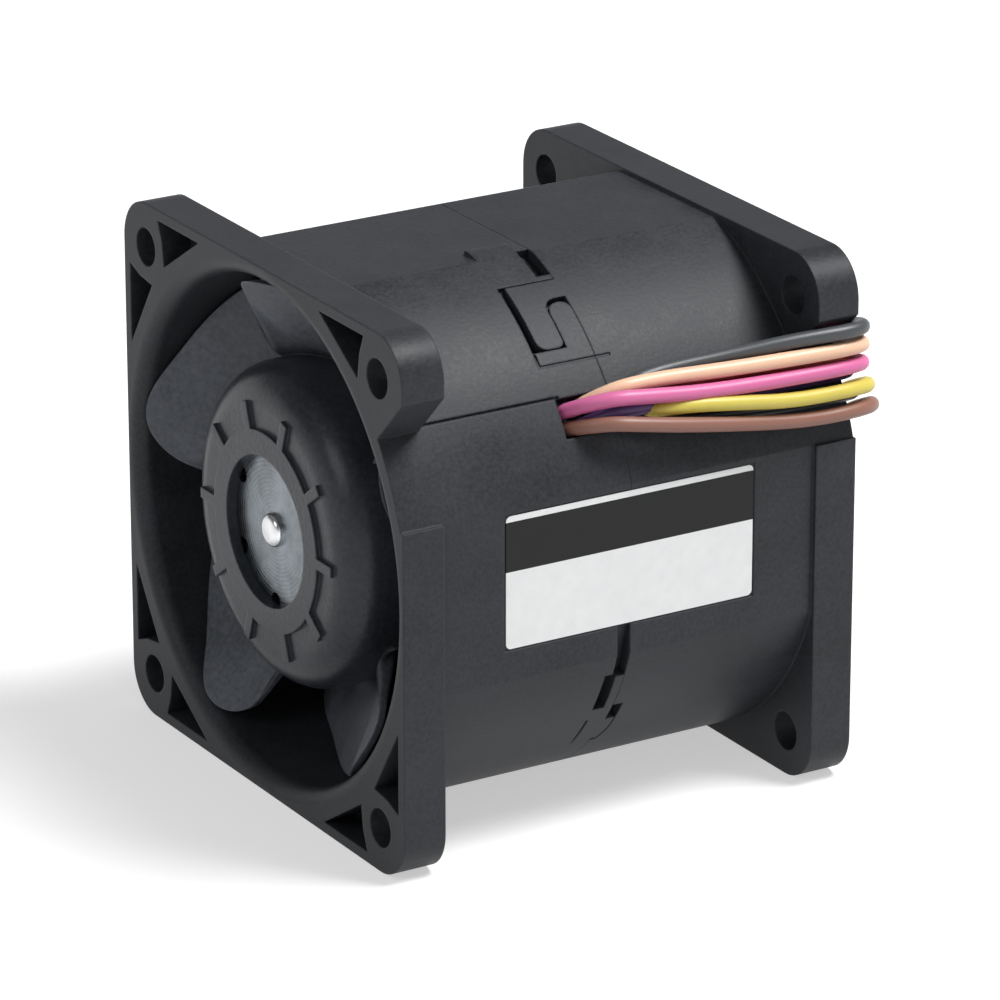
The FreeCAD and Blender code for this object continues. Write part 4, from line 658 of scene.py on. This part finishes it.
bar = add_node(tie_tree, "GeometryNodeMeshCube", None, {
    "Size": add_node(tie_tree, "ShaderNodeCombineXYZ", None, {
        "X": sum_of(tie_tree, "ADD", given["Thick"], both_teeth),
        "Y": sum_of(tie_tree, "MULTIPLY", given["Wide"], 0.66),
        "Z": sum_of(tie_tree, "MULTIPLY", given["Tooth spacing"], 0.45)}).outputs[0]})
teeth = add_node(tie_tree, "GeometryNodeInstanceOnPoints", None, {
    "Points": stations.outputs["Points"], "Instance": bar.outputs["Mesh"],
    "Rotation": stations.outputs["Rotation"]})
block = add_node(tie_tree, "GeometryNodeMeshCube", None, {"Size": BLOCK_SIZE})
lifted = add_node(tie_tree, "GeometryNodeTransform", None, {
    "Geometry": block.outputs["Mesh"],
    "Translation": add_node(tie_tree, "ShaderNodeCombineXYZ", None, {
        "Y": sum_of(tie_tree, "MULTIPLY_ADD", given["High"], 0.5, BLOCK_LIFT)}).outputs[0]})
whole = add_node(tie_tree, "GeometryNodeJoinGeometry")
for piece in (strap.outputs["Mesh"], teeth.outputs["Instances"], lifted.outputs["Geometry"]):
    tie_tree.links.new(piece, whole.inputs["Geometry"])
stood_up = add_node(tie_tree, "GeometryNodeTransform", None, {
    "Geometry": whole.outputs["Geometry"], "Rotation": (math.pi / 2, 0, 0),
    "Translation": tuple((a + b) / 2 for a, b in zip(TIE_LOW, TIE_HIGH))})
end_tree(tie_tree, stood_up.outputs["Geometry"], given["Finish"], False)

outside = BAND_THICK + 2 * TOOTH_HEIGHT + 0.1 * MM
tie = made_by_nodes("ridged_tie", tie_tree, {
    "Long": TIE_HIGH[0] - TIE_LOW[0] - outside, "High": TIE_HIGH[2] - TIE_LOW[2] - outside,
    "Wide": TIE_HIGH[1] - TIE_LOW[1], "Thick": BAND_THICK,
    "Tooth height": TOOTH_HEIGHT, "Tooth spacing": 0.75 * MM}, tie_nylon)
print("tie", [round(d / MM, 2) for d in tie.dimensions])
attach(tie, "frame")
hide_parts("lead_tie")

# %% [markdown]
# ## Cords
# The leads are limp, so whoever uses the fan will lay them anew.

# %% [markdown]
# ## Light, floor and background
# The photograph has soft light from the label side and above, on plain white. Three large lamps give
# that, and the world fills the shadows. Camera and mirror rays see a white sweep that darkens
# overhead, while the light that falls on the fan comes from a dimmer world, so the background is
# white and the black stays black. The floor is pale paper, so it still takes the fan's shadow.

# %% Light and floor
def softbox(name, place, power, size=(0.4, 0.4), aim=(0, 0, 0.03)):
    """A large soft lamp that stands at a place and looks at the fan."""
    lamp = bpy.data.lights.new(name, "AREA")
    lamp.shape = "RECTANGLE"
    lamp.size, lamp.size_y = size
    lamp.energy = power
    holder = bpy.data.objects.new(name, lamp)
    bpy.context.scene.collection.objects.link(holder)
    holder.location = place
    holder.rotation_mode = "QUATERNION"
    holder.rotation_quaternion = (Vector(aim) - Vector(place)).to_track_quat("-Z", "Y")


softbox("key", (0.38, -0.31, 0.92), 13)
softbox("front", (-0.2, -1.0, 0.4), 0.4, size=(0.5, 0.4))
softbox("left", (-0.8, -0.2, 0.6), 1.4)


def rays_that_see(tree):
    """One for rays from the camera, a mirror or glass, and nothing for light that falls on things."""
    ray = add_node(tree, "ShaderNodeLightPath").outputs
    mirrored = sum_of(tree, "MAXIMUM", ray["Is Glossy Ray"], ray["Is Transmission Ray"])
    return sum_of(tree, "MAXIMUM", ray["Is Camera Ray"], mirrored)


world = bpy.data.worlds.new("studio")
bpy.context.scene.world = world
world.use_nodes = True
tree = world.node_tree
tree.nodes.clear()
fill = add_node(tree, "ShaderNodeBackground", None, {"Color": (1, 1, 1, 1), "Strength": 0.28})
height = add_node(tree, "ShaderNodeSeparateXYZ", None, {
    "Vector": add_node(tree, "ShaderNodeTexCoord").outputs["Generated"]}).outputs["Z"]
sweep = add_node(tree, "ShaderNodeMapRange", {"interpolation_type": "SMOOTHSTEP"}, {
    "Value": height, "From Min": 0.05, "From Max": 0.38, "To Min": 1.0, "To Max": 0.2})
white = add_node(tree, "ShaderNodeBackground", None, {
    "Color": (1, 1, 1, 1), "Strength": sweep.outputs["Result"]})
sky = add_node(tree, "ShaderNodeMixShader", None, {
    "Fac": rays_that_see(tree), 1: fill.outputs["Background"], 2: white.outputs["Background"]})
add_node(tree, "ShaderNodeOutputWorld", None, {"Surface": sky.outputs["Shader"]})

floor_mesh = bpy.data.meshes.new("floor")
FLOOR_HALF, FLOOR_LEVEL = 3.0, -0.05 * MM
corners = [(x * FLOOR_HALF, y * FLOOR_HALF, FLOOR_LEVEL) for x, y in ((-1, -1), (1, -1), (1, 1), (-1, 1))]
floor_mesh.from_pydata(corners, [], [(0, 1, 2, 3)])
floor = bpy.data.objects.new("floor", floor_mesh)
bpy.context.scene.collection.objects.link(floor)
paper_white, tree, shader, place = start_finish("matt_white_paper", "#cccccc", 0.9)
shader.inputs["Specular IOR Level"].default_value = 0.0
# the lamps reach only the floor near the fan, so further out the paper is lifted to white
away = add_node(tree, "ShaderNodeVectorMath", {"operation": "LENGTH"}, {0: place}).outputs["Value"]
to_white = add_node(tree, "ShaderNodeMapRange", {"interpolation_type": "SMOOTHSTEP"}, {
    "Value": away, "From Min": 0.2, "From Max": 1.0, "To Min": 0.5, "To Max": 0.95}).outputs["Result"]
lift = sum_of(tree, "MULTIPLY", rays_that_see(tree), to_white)
shader.inputs["Emission Color"].default_value = (1, 1, 1, 1)
tree.links.new(lift, shader.inputs["Emission Strength"])
floor_mesh.materials.append(paper_white)
bpy.context.scene.view_settings.view_transform = "Standard"

# %% Finish
bpy.context.view_layer.update()
